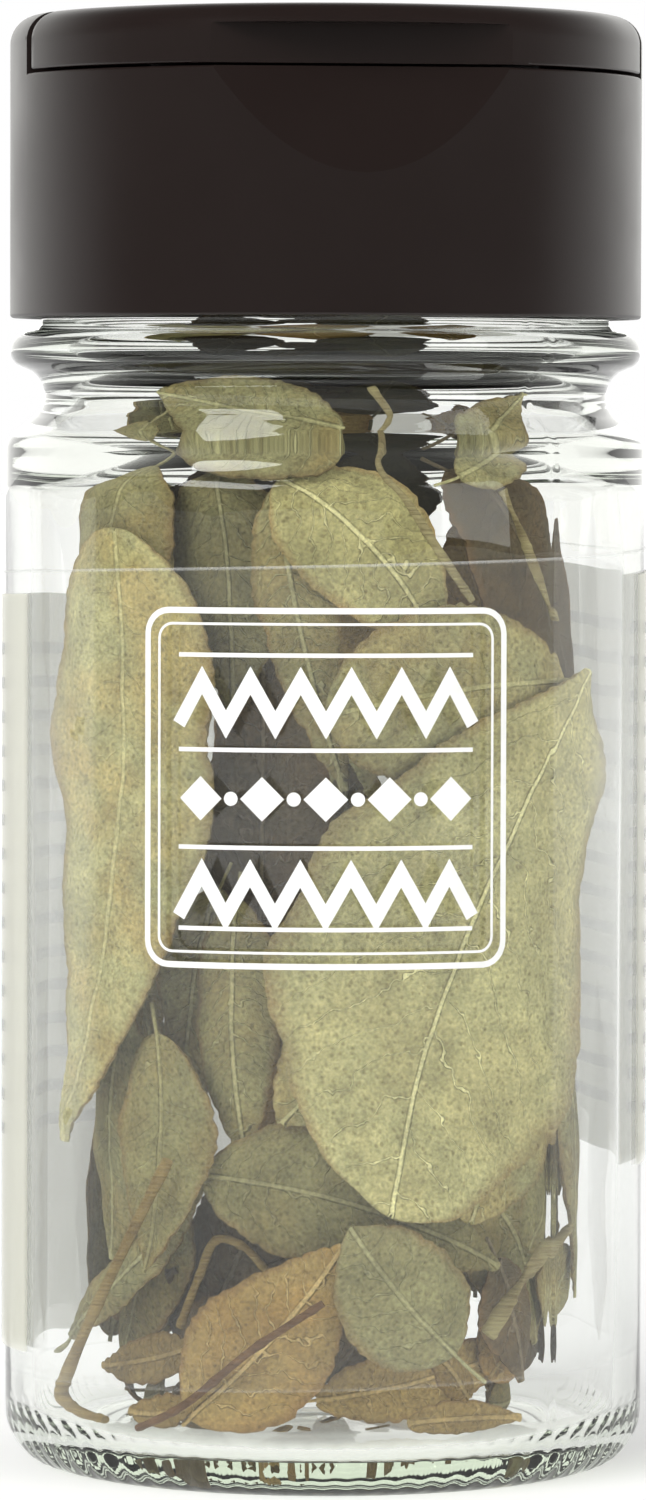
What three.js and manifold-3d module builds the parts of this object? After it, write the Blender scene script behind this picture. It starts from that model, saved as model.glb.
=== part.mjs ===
/*
 * A glass spice jar packed with loose dried curry leaves, closed by a screw cap with two flaps.
 *
 * Millimetres, +Z up. The origin is on the jar's axis at the ring that it stands on, and the
 * front faces -Y. Angles round the jar are in degrees from the front, positive towards +X.
 */
import * as THREE from 'three';
import { mergeVertices } from 'three/addons/utils/BufferGeometryUtils.js';
import Module from 'manifold-3d';

const wasm = await Module();
wasm.setup();

// ---------------------------------------------------------------- driving dimensions

const ROUND_STEPS = 40; // facets round everything that is turned

const jar = {
  bodyRadius: 22.4,
  innerRadius: 20.6,
  standRadius: 18.8, // outer edge of the flat ring that it stands on
  standWidth: 2.2,
  pushUp: 1.5, // how far the middle of the underside is raised
  heelHeight: 4.5,
  floorTop: 2.8,
  floorRise: 0.6, // the floor is a little higher in the middle
  innerCorner: 2,
  innerShoulder: 68.4, // where the bore starts to narrow
  innerNeckStart: 74.2,
  neckRadius: 19.9,
  neckBore: 17.9,
  lipTop: 91.9,
};
const shoulder = { centre: [20.6, 71], radius: 1.8 };
const waist = { centre: [21.65, 74.95], radius: 1.95 };
const bead = { centre: [20.8, 78.05], radius: 1.3 };
const thread = { radius: 0.85, crest: 20.7, start: 82.3, pitch: 4.2, turns: 1.5 };

const label = { bottom: 7.6, top: 63.5, gap: 0.1, thickness: 0.15, slope: 0.0244, seam: 3 };

const cap = {
  radius: 22.1,
  bore: 21,
  bottom: 80.3,
  split: 97.3, // the line where the flaps part from the base
  top: 101.35,
  edgeRadius: 2,
  clearance: 0.2, // between the flaps and what they close on
  deckTop: 97.1,
  deckBottom: 96,
  sealBore: 18,
  sealBottom: 92.2, // the ring that presses on the lip
  turn: 7, // degrees that the screwed-down cap stops past the front
};
const bar = { halfWidth: 5.25, hingeLine: 5.72, webLength: 26, webThickness: 0.5, webGap: 0.3 };
const flap = { face: 6.2, wall: 1, plate: 1.1 };
const thumb = { depth: 2.55, drop: 7.4, halfWidth: 10.4, rimBottom: 100, wall: 1.1 };
const mouth = { chord: 8, radius: 15.8, corner: 1.8, rim: 0.9, rimHeight: 0.7, wallBack: 10.8 };
const sifter = { holeRadius: 1.6, ringRadius: 12.2, spread: 24, count: 5, innerRow: 8.9 };

const leaf = { thickness: 0.6, across: 4, rowLength: 4.5, clearance: 0.2, spacing: 0.8 };
const warp = { height: 0.22, most: 4, turns: 2, rise: 9, sway: 14 };

const finishes = {
  glass: { color: '#d3e2d6', roughness: 0.05, metalness: 0 },
  film: { color: '#dfe2d8', roughness: 0.3, metalness: 0 },
  capPlastic: { color: '#2a2220', roughness: 0.38, metalness: 0 },
  pale: { color: '#b3ae7b', roughness: 0.85, metalness: 0 },
  olive: { color: '#86875f', roughness: 0.85, metalness: 0 },
  green: { color: '#8d9270', roughness: 0.85, metalness: 0 },
  brown: { color: '#9c8a55', roughness: 0.85, metalness: 0 },
  dark: { color: '#6b6257', roughness: 0.9, metalness: 0 },
  stalk: { color: '#8a7857', roughness: 0.9, metalness: 0 },
};

/*
 * Leaves that lie against the glass. base and tip are [angle, height] of the ends of the blade.
 * layers counts how many leaves lie between the glass and each end. bend bows the midrib
 * sideways and cup draws the edges inwards, both in mm.
 */
const wallLeaves = [
  { name: 'leaf_front_brown', base: [-27, 5.2], tip: [4, 17.2], width: 10, layers: [1.05, 1.05],
    bend: -0.6, cup: 0.1, petiole: 1, tone: 'brown' },
  { name: 'leaf_front_round', base: [26, 9.6], tip: [5, 18.6], width: 9.4, layers: [0, 0],
    bend: 0.4, cup: 0.1, petiole: 3, blunt: 0.8, tone: 'green' },
  { name: 'leaf_front_wide', base: [-28, 21.6], tip: [41, 15.2], width: 10.4, layers: [3.4, 2.45],
    bend: 1.4, cup: 0.1, petiole: 0, tone: 'olive' },
  { name: 'leaf_centre_large', base: [61, 56], tip: [13, 19.4], width: 24.6, layers: [0.1, 0.2],
    bend: -3.2, cup: 0, petiole: 0, swell: 0.85, blunt: 0.55, tone: 'pale' },
  { name: 'leaf_centre_under', base: [52, 47], tip: [31, 18.6], width: 14, layers: [1.25, 1.25],
    bend: 1, cup: 0.1, blunt: 0.6, tone: 'pale' },
  { name: 'leaf_centre_left', base: [26, 42], tip: [-9, 25.4], width: 12.5, layers: [2.3, 2.15],
    bend: 1, cup: 0, blunt: 0.75, tone: 'pale' },
  { name: 'leaf_upper_right', base: [55, 55.4], tip: [1, 53.2], width: 12, layers: [1.3, 1.35],
    bend: -0.6, cup: 0.1, blunt: 0.5, tone: 'pale' },
  { name: 'leaf_upper_diagonal', base: [-9, 69.6], tip: [26, 57], width: 9.4, layers: [1.25, 2.7],
    bend: 1.2, cup: 0.1, tone: 'olive' },
  { name: 'leaf_upper_narrow', base: [-10, 69], tip: [5, 48], width: 5.6, layers: [2.4, 3.7],
    bend: -0.8, cup: 0.2, tone: 'green' },
  { name: 'leaf_neck_left', base: [4, 71.6], tip: [-40, 75.2], width: 7.4, layers: [0.2, 0.2],
    bend: 0, cup: 0, petiole: 0, blunt: 0.7, tone: 'pale' },
  { name: 'leaf_neck_right', base: [27, 69.6], tip: [49, 75.2], width: 5, layers: [0.2, 0.2],
    bend: -0.6, cup: 0.2, tone: 'pale' },
  { name: 'leaf_shoulder_left', base: [-28, 71.6], tip: [-23, 53], width: 9, layers: [3.6, 3.9],
    bend: 0.8, cup: 0.2, tone: 'green' },
  { name: 'leaf_left_long', base: [-43, 65.6], tip: [-58, 23.6], width: 13.6, layers: [0, 0],
    bend: 3, cup: 0, petiole: 0, swell: 0.42, blunt: 0.85, tone: 'pale' },
  { name: 'leaf_left_rolled', base: [-42, 71.4], tip: [-50, 56], width: 9.6, layers: [1.2, 1.2],
    bend: -1, cup: 0.5, tone: 'olive' },
  { name: 'leaf_left_brownish', base: [-36, 31.4], tip: [-41, 14.8], width: 8, layers: [1.4, 1.6],
    bend: 1, cup: 0.2, tone: 'olive' },
  { name: 'leaf_left_grey', base: [-50, 33], tip: [-62, 15], width: 9.2, layers: [2.7, 3.6],
    bend: 0.5, cup: 0.3, tone: 'green' },
  { name: 'leaf_left_tucked', base: [-29, 41], tip: [-37, 25.4], width: 7, layers: [5.3, 6.3],
    bend: -1, cup: 0.3, tone: 'olive' },
  { name: 'leaf_left_curled', base: [-21, 40.4], tip: [-18, 22], width: 6.6, layers: [3.4, 4.4],
    bend: -0.6, cup: 0.7, tone: 'olive' },
  { name: 'leaf_right_dark', base: [30, 71], tip: [68, 50], width: 10.6, layers: [2.5, 2.5],
    bend: 2, cup: 0.3, tone: 'dark' },
  { name: 'leaf_low_slender', base: [-73, 9.4], tip: [-28, 21.8], width: 3.6, layers: [1.5, 4.7],
    bend: -0.8, cup: 0.2, petiole: 3, tone: 'green' },
  { name: 'leaf_low_left', base: [-33, 9.6], tip: [-66, 7.4], width: 3.4, layers: [4, 3.6],
    bend: 0.3, cup: 0.2, tone: 'brown' },
  { name: 'leaf_right_edge', base: [74, 46], tip: [76, 12], width: 7.4, layers: [2.6, 2.6],
    bend: -0.8, cup: 0.3, tone: 'green' },
  { name: 'leaf_low_right', base: [45, 15.4], tip: [57, 6.6], width: 5, layers: [3.6, 3.6],
    bend: 0.4, cup: 0.3, tone: 'dark' },
  { name: 'leaf_low_right_wide', base: [40, 21], tip: [70, 9], width: 9, layers: [4.8, 4.8],
    bend: 0.8, cup: 0.2, tone: 'olive' },
  { name: 'leaf_low_left_wide', base: [-42, 20], tip: [-64, 7.4], width: 8, layers: [5.6, 5],
    bend: -0.6, cup: 0.2, tone: 'olive' },
  { name: 'leaf_foot_scrap', base: [-30, 5.6], tip: [-46, 5], width: 2.6, layers: [2.4, 2.4],
    bend: 0.3, cup: 0.1, petiole: 1, tone: 'brown' },
  { name: 'leaf_foot_right', base: [17, 5], tip: [42, 4.9], width: 2.6, layers: [0.6, 0.6],
    bend: 0.2, cup: 0, petiole: 0, tone: 'brown' },
  { name: 'leaf_low_brown', base: [-2, 5.8], tip: [72, 9.4], width: 5.2, layers: [7, 6],
    bend: -0.4, cup: 0.1, tone: 'brown' },
  { name: 'leaf_low_shade_left', base: [-44, 6.6], tip: [-4, 23], width: 11, layers: [8, 8],
    bend: 1, cup: 0.3, tone: 'dark' },
  { name: 'leaf_low_shade_right', base: [4, 7.6], tip: [40, 22], width: 10, layers: [9.2, 9.2],
    bend: -1, cup: 0.3, tone: 'dark' },
  { name: 'leaf_neck_back_left', base: [205, 62], tip: [212, 83], width: 10, layers: [1.3, 1.3],
    bend: 0.8, cup: 0.2, tone: 'dark' },
  { name: 'leaf_neck_back_right', base: [168, 64], tip: [160, 86], width: 11, layers: [2, 2],
    bend: -0.6, cup: 0.2, tone: 'olive' },
];

// Leaves on the floor of the jar: base and tip are [x, y], rise is the height of each end.
const floorLeaves = [
  { name: 'leaf_floor_right', base: [0.5, 2.5], tip: [13.5, 1], width: 6.4, rise: [0, 2],
    bend: 0.6, cup: 0.2, tone: 'brown' },
  { name: 'leaf_floor_back', base: [-12, 5], tip: [6, 9.5], width: 7.4, rise: [0.2, 1.2],
    bend: -1, cup: 0.2, tone: 'dark' },
];

// Leaves that fill the back half, three rows of three, and those that stand in the middle.
const backLeaves = { spread: [46, 48, 36], heights: [20, 40, 58], length: 25, width: 11.5 };
const coreLeaves = { count: 6, layer: 7.4, step: 1.15, length: 30, width: 11, middle: 38 };

// Bare stalks and leaf stems, as [angle, height, layer] points from end to end.
const stalks = [
  { name: 'stalk_front', radius: 0.32,
    points: [[-38, 4.2, 0.1], [-27, 6.2, 0], [-14, 10, 0], [0, 13.4, 0]] },
  { name: 'stalk_left', radius: 0.42,
    points: [[-31, 22.8, 0], [-45, 14.4, 0], [-58, 7.6, 0], [-62, 5.6, 0.2], [-56, 4.7, 0.4],
      [-48, 4.4, 0.5]] },
  { name: 'stem_neck_curled', radius: 0.36,
    points: [[10, 75.8, 0.1], [14, 72.6, 0.2], [10.5, 70.6, 0.2], [16, 67.6, 0.1], [22, 64.4, 0],
      [29, 61, 0]] },
  { name: 'stem_right_strip', radius: 0.4,
    points: [[37, 68.6, 0.6], [41, 66, 0.5], [45, 63, 0.3], [50, 59.6, 0.1]] },
  { name: 'stem_right_twisted', radius: 0.7,
    points: [[37, 10.6, 1.2], [44, 13.6, 1.1], [52, 16, 1], [61, 17.4, 1]] },
  { name: 'stem_left_loop', radius: 0.34,
    points: [[-39, 10.8, 4.6], [-33, 14.4, 4.8], [-28, 17, 5], [-21, 16.6, 5.2], [-15, 15, 5.4]] },
];

// ---------------------------------------------------------------- geometry helpers

const radians = THREE.MathUtils.degToRad;

/** Signed volume of a triangle mesh, negative when its faces point inwards. */
function signedVolume(geometry) {
  const position = geometry.attributes.position;
  const index = geometry.index.array;
  const [a, b, c] = [new THREE.Vector3(), new THREE.Vector3(), new THREE.Vector3()];
  let volume = 0;
  for (let i = 0; i < index.length; i += 3) {
    a.fromBufferAttribute(position, index[i]);
    b.fromBufferAttribute(position, index[i + 1]);
    c.fromBufferAttribute(position, index[i + 2]);
    volume += a.dot(b.cross(c)) / 6;
  }
  return volume;
}

/** Merges shared vertices, drops collapsed triangles and turns the faces outwards. */
function closed(geometry) {
  geometry.deleteAttribute('normal');
  geometry.deleteAttribute('uv');
  const merged = mergeVertices(geometry, 1e-4);
  const index = [];
  for (let i = 0; i < merged.index.count; i += 3) {
    const [a, b, c] = merged.index.array.slice(i, i + 3);
    if (a !== b && b !== c && c !== a) index.push(a, b, c);
  }
  merged.setIndex(index);
  if (signedVolume(merged) < 0) {
    for (let i = 0; i < index.length; i += 3) [index[i], index[i + 1]] = [index[i + 1], index[i]];
    merged.setIndex(index);
  }
  return merged;
}

/** A solid for joining and cutting. */
function solid(geometry) {
  const shape = closed(geometry);
  return new wasm.Manifold(new wasm.Mesh({
    numProp: 3,
    vertProperties: new Float32Array(shape.attributes.position.array),
    triVerts: new Uint32Array(shape.index.array),
  }));
}

/** The geometry of a joined or cut solid. */
function geometryOf(body) {
  const result = body.getMesh();
  const geometry = new THREE.BufferGeometry();
  geometry.setAttribute('position', new THREE.BufferAttribute(result.vertProperties, 3));
  geometry.setIndex(new THREE.BufferAttribute(result.triVerts, 1));
  return geometry;
}

/** A profile of [radius, height] points turned about the Z axis. */
function turned(profile) {
  const points = profile.map(([radius, height]) => new THREE.Vector2(radius, height));
  return new THREE.LatheGeometry(points, ROUND_STEPS).rotateX(Math.PI / 2);
}

/** Points on a circular or elliptical arc, in degrees, both ends included. */
function arc([x, y], radiusX, radiusY, from, to, steps) {
  return Array.from({ length: steps + 1 }, (_, i) => {
    const angle = radians(from + ((to - from) * i) / steps);
    return [x + radiusX * Math.cos(angle), y + radiusY * Math.sin(angle)];
  });
}

/** A box between two corners. */
function block([x0, y0, z0], [x1, y1, z1]) {
  const box = new THREE.BoxGeometry(x1 - x0, y1 - y0, z1 - z0);
  return box.translate((x0 + x1) / 2, (y0 + y1) / 2, (z0 + z1) / 2);
}

/** A shape in the XY plane raised from one height to another. */
function raised(shape, bottom, top, curveSegments = 8) {
  const options = { depth: top - bottom, bevelEnabled: false, curveSegments };
  return new THREE.ExtrudeGeometry(shape, options).translate(0, 0, bottom);
}

/** The point at an angle from the front, a distance from the axis and a height. */
function around(angle, radius, height) {
  return new THREE.Vector3(radius * Math.sin(angle), -radius * Math.cos(angle), height);
}

/** A mesh with its own material. */
function piece(name, geometry, finish) {
  const mesh = new THREE.Mesh(geometry, new THREE.MeshStandardMaterial(finishes[finish]));
  mesh.name = name;
  return mesh;
}

// ---------------------------------------------------------------- glass and label

/** Radius of the jar's bore at a height: rounded at the floor, narrowing into the neck. */
function boreRadius(height) {
  const cornerTop = jar.floorTop + jar.innerCorner;
  if (height < cornerTop) {
    const below = Math.min(cornerTop - height, jar.innerCorner);
    return jar.innerRadius - jar.innerCorner + Math.sqrt(jar.innerCorner ** 2 - below ** 2);
  }
  const share = THREE.MathUtils.smoothstep(height, jar.innerShoulder, jar.innerNeckStart);
  return THREE.MathUtils.lerp(jar.innerRadius, jar.neckBore, share);
}

function jarOuterProfile() {
  const { standRadius, standWidth, bodyRadius, heelHeight, neckRadius, lipTop, pushUp } = jar;
  return [
    [0, pushUp],
    [10, pushUp * 0.8],
    [standRadius - standWidth - 0.8, 0.35],
    [standRadius - standWidth, 0],
    ...arc([standRadius, heelHeight], bodyRadius - standRadius, heelHeight, -90, 0, 5),
    ...arc(shoulder.centre, bodyRadius - shoulder.centre[0], shoulder.radius, 0, 62, 4),
    ...arc(waist.centre, waist.radius, waist.radius, 240, 120, 6),
    ...arc(bead.centre, bead.radius, bead.radius, -50, 82, 6),
    [neckRadius + 0.3, 79.45],
    [neckRadius, 79.8],
    [neckRadius, lipTop - 0.9],
    [neckRadius - 0.4, lipTop - 0.15],
    [neckRadius - 1, lipTop],
  ];
}

function jarInnerProfile() {
  const cornerCentre = [jar.innerRadius - jar.innerCorner, jar.floorTop + jar.innerCorner];
  const shoulderHeights = [74.2, 72.8, 71.3, 69.8, 68.4];
  return [
    [jar.neckBore + 0.4, jar.lipTop - 0.15],
    [jar.neckBore, jar.lipTop - 0.8],
    ...shoulderHeights.map((height) => [boreRadius(height), height]),
    ...arc(cornerCentre, jar.innerCorner, jar.innerCorner, 0, -90, 4),
    [0, jar.floorTop + jar.floorRise],
  ];
}

/** The raised thread: a round ridge that fades into the neck at both ends. */
function threadRidge() {
  const steps = Math.round(thread.turns * 26);
  const depth = thread.crest - thread.radius;
  const points = Array.from({ length: steps + 1 }, (_, i) => {
    const along = i / steps;
    const fade = Math.max(0, 1 - Math.min(along, 1 - along) * 10);
    const angle = along * thread.turns * 2 * Math.PI;
    return around(angle, depth - fade * 0.9, thread.start + along * thread.turns * thread.pitch);
  });
  const section = new THREE.Shape().absarc(0, 0, thread.radius, 0, 2 * Math.PI);
  const path = new THREE.CatmullRomCurve3(points);
  return new THREE.ExtrudeGeometry(section, { steps, curveSegments: 3, extrudePath: path });
}

function makeJar() {
  const shell = solid(turned([...jarOuterProfile(), ...jarInnerProfile()]));
  return piece('glass_jar', geometryOf(shell.add(solid(threadRidge()))), 'glass');
}

/** The printed film: one strip wrapped round the body, its ends a little apart at the back. */
function makeLabel() {
  const inner = jar.bodyRadius + label.gap;
  const outer = inner + label.thickness;
  const start = Math.PI / 2 + radians(label.seam / 2);
  const end = start + 2 * Math.PI - radians(label.seam);
  const strip = new THREE.Shape();
  strip.absarc(0, 0, outer, start, end, false);
  strip.absarc(0, 0, inner, end, start, true);
  const geometry = raised(strip, label.bottom, label.top, ROUND_STEPS / 2);
  const position = geometry.attributes.position;
  for (let i = 0; i < position.count; i += 1) {
    const angle = Math.atan2(position.getX(i), -position.getY(i));
    position.setZ(i, position.getZ(i) + label.slope * inner * angle);
  }
  return piece('label_film', closed(geometry), 'film');
}

// ---------------------------------------------------------------- cap

/** The cap's outside as one plain solid, from a height up to the rounded top. */
function capEnvelope(bottom) {
  const { radius, top, edgeRadius } = cap;
  const edge = arc([radius - edgeRadius, top - edgeRadius], edgeRadius, edgeRadius, 0, 90, 4);
  return solid(turned([[0, bottom], [radius, bottom], ...edge, [0, top]]));
}

/** The D-shaped outline of the pour mouth, grown by a margin. */
function mouthOutline(margin) {
  const chord = mouth.chord - margin;
  const radius = mouth.radius + margin;
  const corner = mouth.corner + margin;
  const reach = radius - corner; // distance of the corner circles from the axis
  const cornerY = chord + corner;
  const cornerX = Math.sqrt(reach ** 2 - cornerY ** 2);
  const turn = Math.atan2(cornerX, cornerY);
  const outline = new THREE.Shape();
  outline.absarc(0, 0, radius, -Math.PI / 2 - turn, -Math.PI / 2 + turn, false);
  outline.absarc(cornerX, -cornerY, corner, -Math.PI / 2 + turn, Math.PI / 2, false);
  outline.absarc(-cornerX, -cornerY, corner, Math.PI / 2, (3 * Math.PI) / 2 - turn, false);
  return outline;
}

/** The small holes under the rear flap: an arc of them and a straight inner row. */
function sifterHoles() {
  const { holeRadius, ringRadius, spread, count, innerRow } = sifter;
  const places = Array.from({ length: count }, (_, i) => {
    const angle = radians((i - (count - 1) / 2) * spread);
    return [ringRadius * Math.sin(angle), ringRadius * Math.cos(angle)];
  });
  places.push([-innerRow / 4, innerRow], [innerRow / 4, innerRow]);
  return places.map(([x, y]) => {
    const hole = new THREE.CylinderGeometry(holeRadius, holeRadius, 4, 10).rotateX(Math.PI / 2);
    return solid(hole.translate(x, y, cap.deckTop));
  });
}

/** The leaning flat that the thumb presses, cut from the skirt below the front flap. */
function thumbFlat() {
  const lean = Math.atan2(thumb.depth, thumb.drop);
  const cutter = block([-15, -12, -12], [15, 0, 12]).rotateX(-lean);
  return solid(cutter.translate(0, -(cap.radius - thumb.depth), cap.split));
}

function capSkirtProfile() {
  const { bore, bottom, radius, deckTop, deckBottom, sealBore, sealBottom } = cap;
  return [
    [0, deckBottom],
    [sealBore, deckBottom],
    [sealBore, sealBottom],
    [bore, sealBottom],
    [bore, bottom + 0.4],
    [bore + 0.3, bottom],
    [radius - 0.15, bottom],
    [radius, bottom + 0.15],
    [radius, deckTop],
    [0, deckTop],
  ];
}

/** One side of the thin web that each flap turns on, reaching almost to the hinge line. */
function hingeWeb(from, to) {
  const half = bar.webLength / 2;
  return solid(block([-half, from, cap.top - bar.webThickness], [half, to, cap.top]));
}

function makeCapBase() {
  const { halfWidth, hingeLine, webGap } = bar;
  const span = cap.radius + 1;
  const strip = solid(block([-span, -halfWidth, 90], [span, halfWidth, cap.top + 1]));
  const nearLine = hingeLine - webGap / 2;
  const rim = solid(raised(mouthOutline(mouth.rim), cap.deckTop - 0.2, cap.deckTop + mouth.rimHeight));
  const opening = solid(raised(mouthOutline(0), cap.deckBottom - 1, cap.deckTop + 2));
  let base = solid(turned(capSkirtProfile()));
  base = base.add(capEnvelope(cap.deckTop - 0.5).intersect(strip));
  base = base.add(hingeWeb(-nearLine, 1 - halfWidth)).add(hingeWeb(halfWidth - 1, nearLine));
  base = base.add(rim).subtract(opening).subtract(thumbFlat());
  for (const hole of sifterHoles()) base = base.subtract(hole);
  return piece('cap_base', geometryOf(base), 'capPlastic');
}

/** A flap on the -Y side: plate, outer wall and hinge web. */
function flapShell() {
  const { radius, split, top, edgeRadius } = cap;
  const edge = arc([radius - edgeRadius, top - edgeRadius], edgeRadius, edgeRadius, 0, 90, 4);
  const hollow = arc([radius - edgeRadius, top - edgeRadius], edgeRadius - flap.wall,
    edgeRadius - flap.plate, 90, 0, 3);
  const shell = [[0, top - flap.plate], ...hollow, [radius - flap.wall, split], [radius, split]];
  const span = radius + 1;
  const side = solid(block([-span, -span, split - 1], [span, -flap.face, top + 1]));
  const web = hingeWeb(-flap.face - 1, -(bar.hingeLine + bar.webGap / 2));
  return solid(turned([...shell, ...edge, [0, top]])).intersect(side).add(web);
}

/**
 * The wall under the front flap that closes round the front of the pour mouth. It stops short of
 * the mouth's corners, where it would strike the rim as the flap swings up.
 */
function sealWall() {
  const bottom = cap.deckTop + cap.clearance;
  const margin = mouth.rim + cap.clearance;
  const outside = solid(raised(mouthOutline(margin + 0.8), bottom, cap.top - flap.plate / 2));
  const inside = solid(raised(mouthOutline(margin), bottom - 1, cap.top - flap.plate));
  const front = solid(block([-cap.radius, -cap.radius, bottom - 1],
    [cap.radius, -mouth.wallBack, cap.top]));
  return outside.subtract(inside).intersect(front);
}

/** The front flap, with its notch for the thumb under an overhanging rim. */
function makeFrontFlap() {
  const { halfWidth, rimBottom, wall, depth } = thumb;
  const back = cap.radius - depth;
  const outerWall = block([-halfWidth - wall, -back - 0.6, cap.split],
    [halfWidth + wall, wall - back, cap.top - 0.5]);
  const notch = block([-halfWidth, -cap.radius - 1, cap.split - 1], [halfWidth, -back, rimBottom]);
  const recess = capEnvelope(cap.split).intersect(solid(outerWall));
  const shape = flapShell().add(sealWall()).add(recess).subtract(solid(notch));
  return piece('flap_pour', geometryOf(shape), 'capPlastic');
}

/** The rear flap is the plain shell turned half round. */
function makeRearFlap() {
  const geometry = geometryOf(flapShell()).rotateZ(Math.PI);
  return piece('flap_sift', geometry, 'capPlastic');
}

function makeCap() {
  const group = new THREE.Group();
  group.rotation.z = radians(cap.turn);
  group.add(makeCapBase(), makeFrontFlap(), makeRearFlap());
  return group;
}

// ---------------------------------------------------------------- leaves and stalks

/** Numbers from 0 to 1 that are the same on every run. */
function randomNumbers(seed) {
  let state = seed;
  return () => {
    state = (state * 1103515245 + 12345) % 2147483648;
    return state / 2147483648;
  };
}

/**
 * How far in from the glass something lies. Deeper layers share one gentle waviness that grows
 * with depth, so the leaves look crumpled and still never cross.
 */
function layerDepth(angle, height, layer, halfThickness) {
  const wave = 1 + Math.sin(warp.turns * angle + height / warp.rise) * Math.cos(height / warp.sway - angle);
  const growth = warp.height * Math.min(layer, warp.most) * wave;
  return leaf.clearance + halfThickness + leaf.spacing * layer + growth;
}

/** Radius of the shell that a layer lies on, where the bore is widest. */
function shellRadius(layer) {
  return jar.innerRadius - leaf.spacing * layer;
}

/** The point at an angle and height on a layer; extra is a further distance inwards. */
function onWall(angle, height, layer, halfThickness, extra = 0) {
  const depth = layerDepth(angle, height, layer, halfThickness) + extra;
  return around(angle, boreRadius(height) - depth, height);
}

/** Places a point of a leaf that lies on the floor. */
function onFloor(x, y, rise, extra) {
  const floor = jar.floorTop + jar.floorRise + leaf.clearance + leaf.thickness / 2;
  return new THREE.Vector3(x, y, floor + rise + extra);
}

/**
 * Half the blade's width at a share of its length, from 0 at the base to 1 at the tip. The base
 * is rounder where swell is small, and the tip is rounder where blunt is small.
 */
function bladeOutline(share, swell = 0.62, blunt = 0.95) {
  const widest = swell / (swell + blunt);
  const most = widest ** swell * (1 - widest) ** blunt;
  return (share ** swell * (1 - share) ** blunt) / most;
}

/**
 * One leaf as a thin closed blade. ends are its base and tip in the plane it is laid out in, and
 * place(u, v, share, extra) puts a point of that plane in the jar.
 */
function bladeGeometry(leafShape, ends, place) {
  const { width, bend = 0, cup = 0, petiole = 2, swell, blunt } = leafShape;
  const direction = new THREE.Vector2().subVectors(ends[1], ends[0]);
  const length = direction.length();
  direction.normalize();
  const side = new THREE.Vector2(-direction.y, direction.x);
  const stemHalf = 0.35;
  const along = THREE.MathUtils.clamp(Math.round(length / leaf.rowLength), 4, 8);
  const rows = petiole > 0 ? [-petiole / length] : [];
  for (let i = 0; i <= along; i += 1) rows.push((1 - Math.cos((Math.PI * i) / along)) / 2);
  const columns = leaf.across + 1;
  const positions = [];
  for (const face of [1, -1]) {
    for (const share of rows) {
      const inside = THREE.MathUtils.clamp(share, 0, 1);
      const half = Math.max((width / 2) * bladeOutline(inside, swell, blunt), stemHalf * (1 - 0.5 * inside));
      const bow = bend * 4 * share * (1 - share);
      for (let j = 0; j < columns; j += 1) {
        const s = (2 * j) / leaf.across - 1;
        const lateral = s * half + bow;
        const u = ends[0].x + direction.x * length * share + side.x * lateral;
        const v = ends[0].y + direction.y * length * share + side.y * lateral;
        const edge = (s * half) / (width / 2);
        const extra = cup * edge ** 2 - (face * leaf.thickness) / 2;
        positions.push(...place(u, v, inside, extra).toArray());
      }
    }
  }
  return closedGrid(positions, rows.length, columns);
}

/** Joins two grids of points, one for each face, into a closed body. */
function closedGrid(positions, rows, columns) {
  const offset = rows * columns;
  const index = [];
  const quad = (a, b, c, d) => index.push(a, b, c, a, c, d);
  for (let i = 0; i < rows - 1; i += 1) {
    for (let j = 0; j < columns - 1; j += 1) {
      const a = i * columns + j;
      const [b, c, d] = [a + 1, a + columns + 1, a + columns];
      quad(a, b, c, d);
      index.push(a + offset, c + offset, b + offset, a + offset, d + offset, c + offset);
    }
  }
  const rim = [];
  for (let j = 0; j < columns - 1; j += 1) rim.push(j);
  for (let i = 0; i < rows - 1; i += 1) rim.push(i * columns + columns - 1);
  for (let j = columns - 1; j > 0; j -= 1) rim.push((rows - 1) * columns + j);
  for (let i = rows - 1; i > 0; i -= 1) rim.push(i * columns);
  rim.forEach((from, i) => {
    const to = rim[(i + 1) % rim.length];
    quad(to, from, from + offset, to + offset);
  });
  const geometry = new THREE.BufferGeometry();
  geometry.setAttribute('position', new THREE.Float32BufferAttribute(positions, 3));
  geometry.setIndex(index);
  return closed(geometry);
}

function makeWallLeaf(leafShape) {
  const { name, base, tip, layers, tone } = leafShape;
  const shell = shellRadius((layers[0] + layers[1]) / 2);
  const ends = [base, tip].map(([angle, height]) =>
    new THREE.Vector2(radians(angle) * shell, height));
  const place = (across, up, share, extra) => {
    const layer = THREE.MathUtils.lerp(layers[0], layers[1], share);
    return onWall(across / shell, up, layer, leaf.thickness / 2, extra);
  };
  return piece(name, bladeGeometry(leafShape, ends, place), tone);
}

function makeFloorLeaf(leafShape) {
  const { name, base, tip, rise, tone } = leafShape;
  const ends = [new THREE.Vector2(...base), new THREE.Vector2(...tip)];
  const place = (x, y, share, extra) =>
    onFloor(x, y, THREE.MathUtils.lerp(rise[0], rise[1], share), extra);
  return piece(name, bladeGeometry(leafShape, ends, place), tone);
}

/** Rows of upright leaves against the back, neighbours on different layers. */
function backLeafShapes() {
  const random = randomNumbers(71);
  const tones = ['olive', 'green', 'pale', 'brown'];
  const { spread, heights, length, width } = backLeaves;
  return heights.flatMap((height, row) => [-1, 0, 1].map((place, column) => {
    const angle = 180 + place * spread[row];
    const layer = (row % 2) * 2 + (column % 2) + 0.1;
    const lean = (random() - 0.5) * 26;
    const half = (length * (0.92 + 0.16 * random())) / 2;
    const drop = random() < 0.5 ? -half : half;
    return {
      name: `leaf_back_${row * 3 + column + 1}`,
      base: [angle - lean / 2, height - drop],
      tip: [angle + lean / 2, height + drop],
      width: width * (0.85 + 0.25 * random()),
      layers: [layer, layer],
      bend: (random() - 0.5) * 2.4,
      tone: tones[Math.floor(random() * tones.length)],
    };
  }));
}

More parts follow.
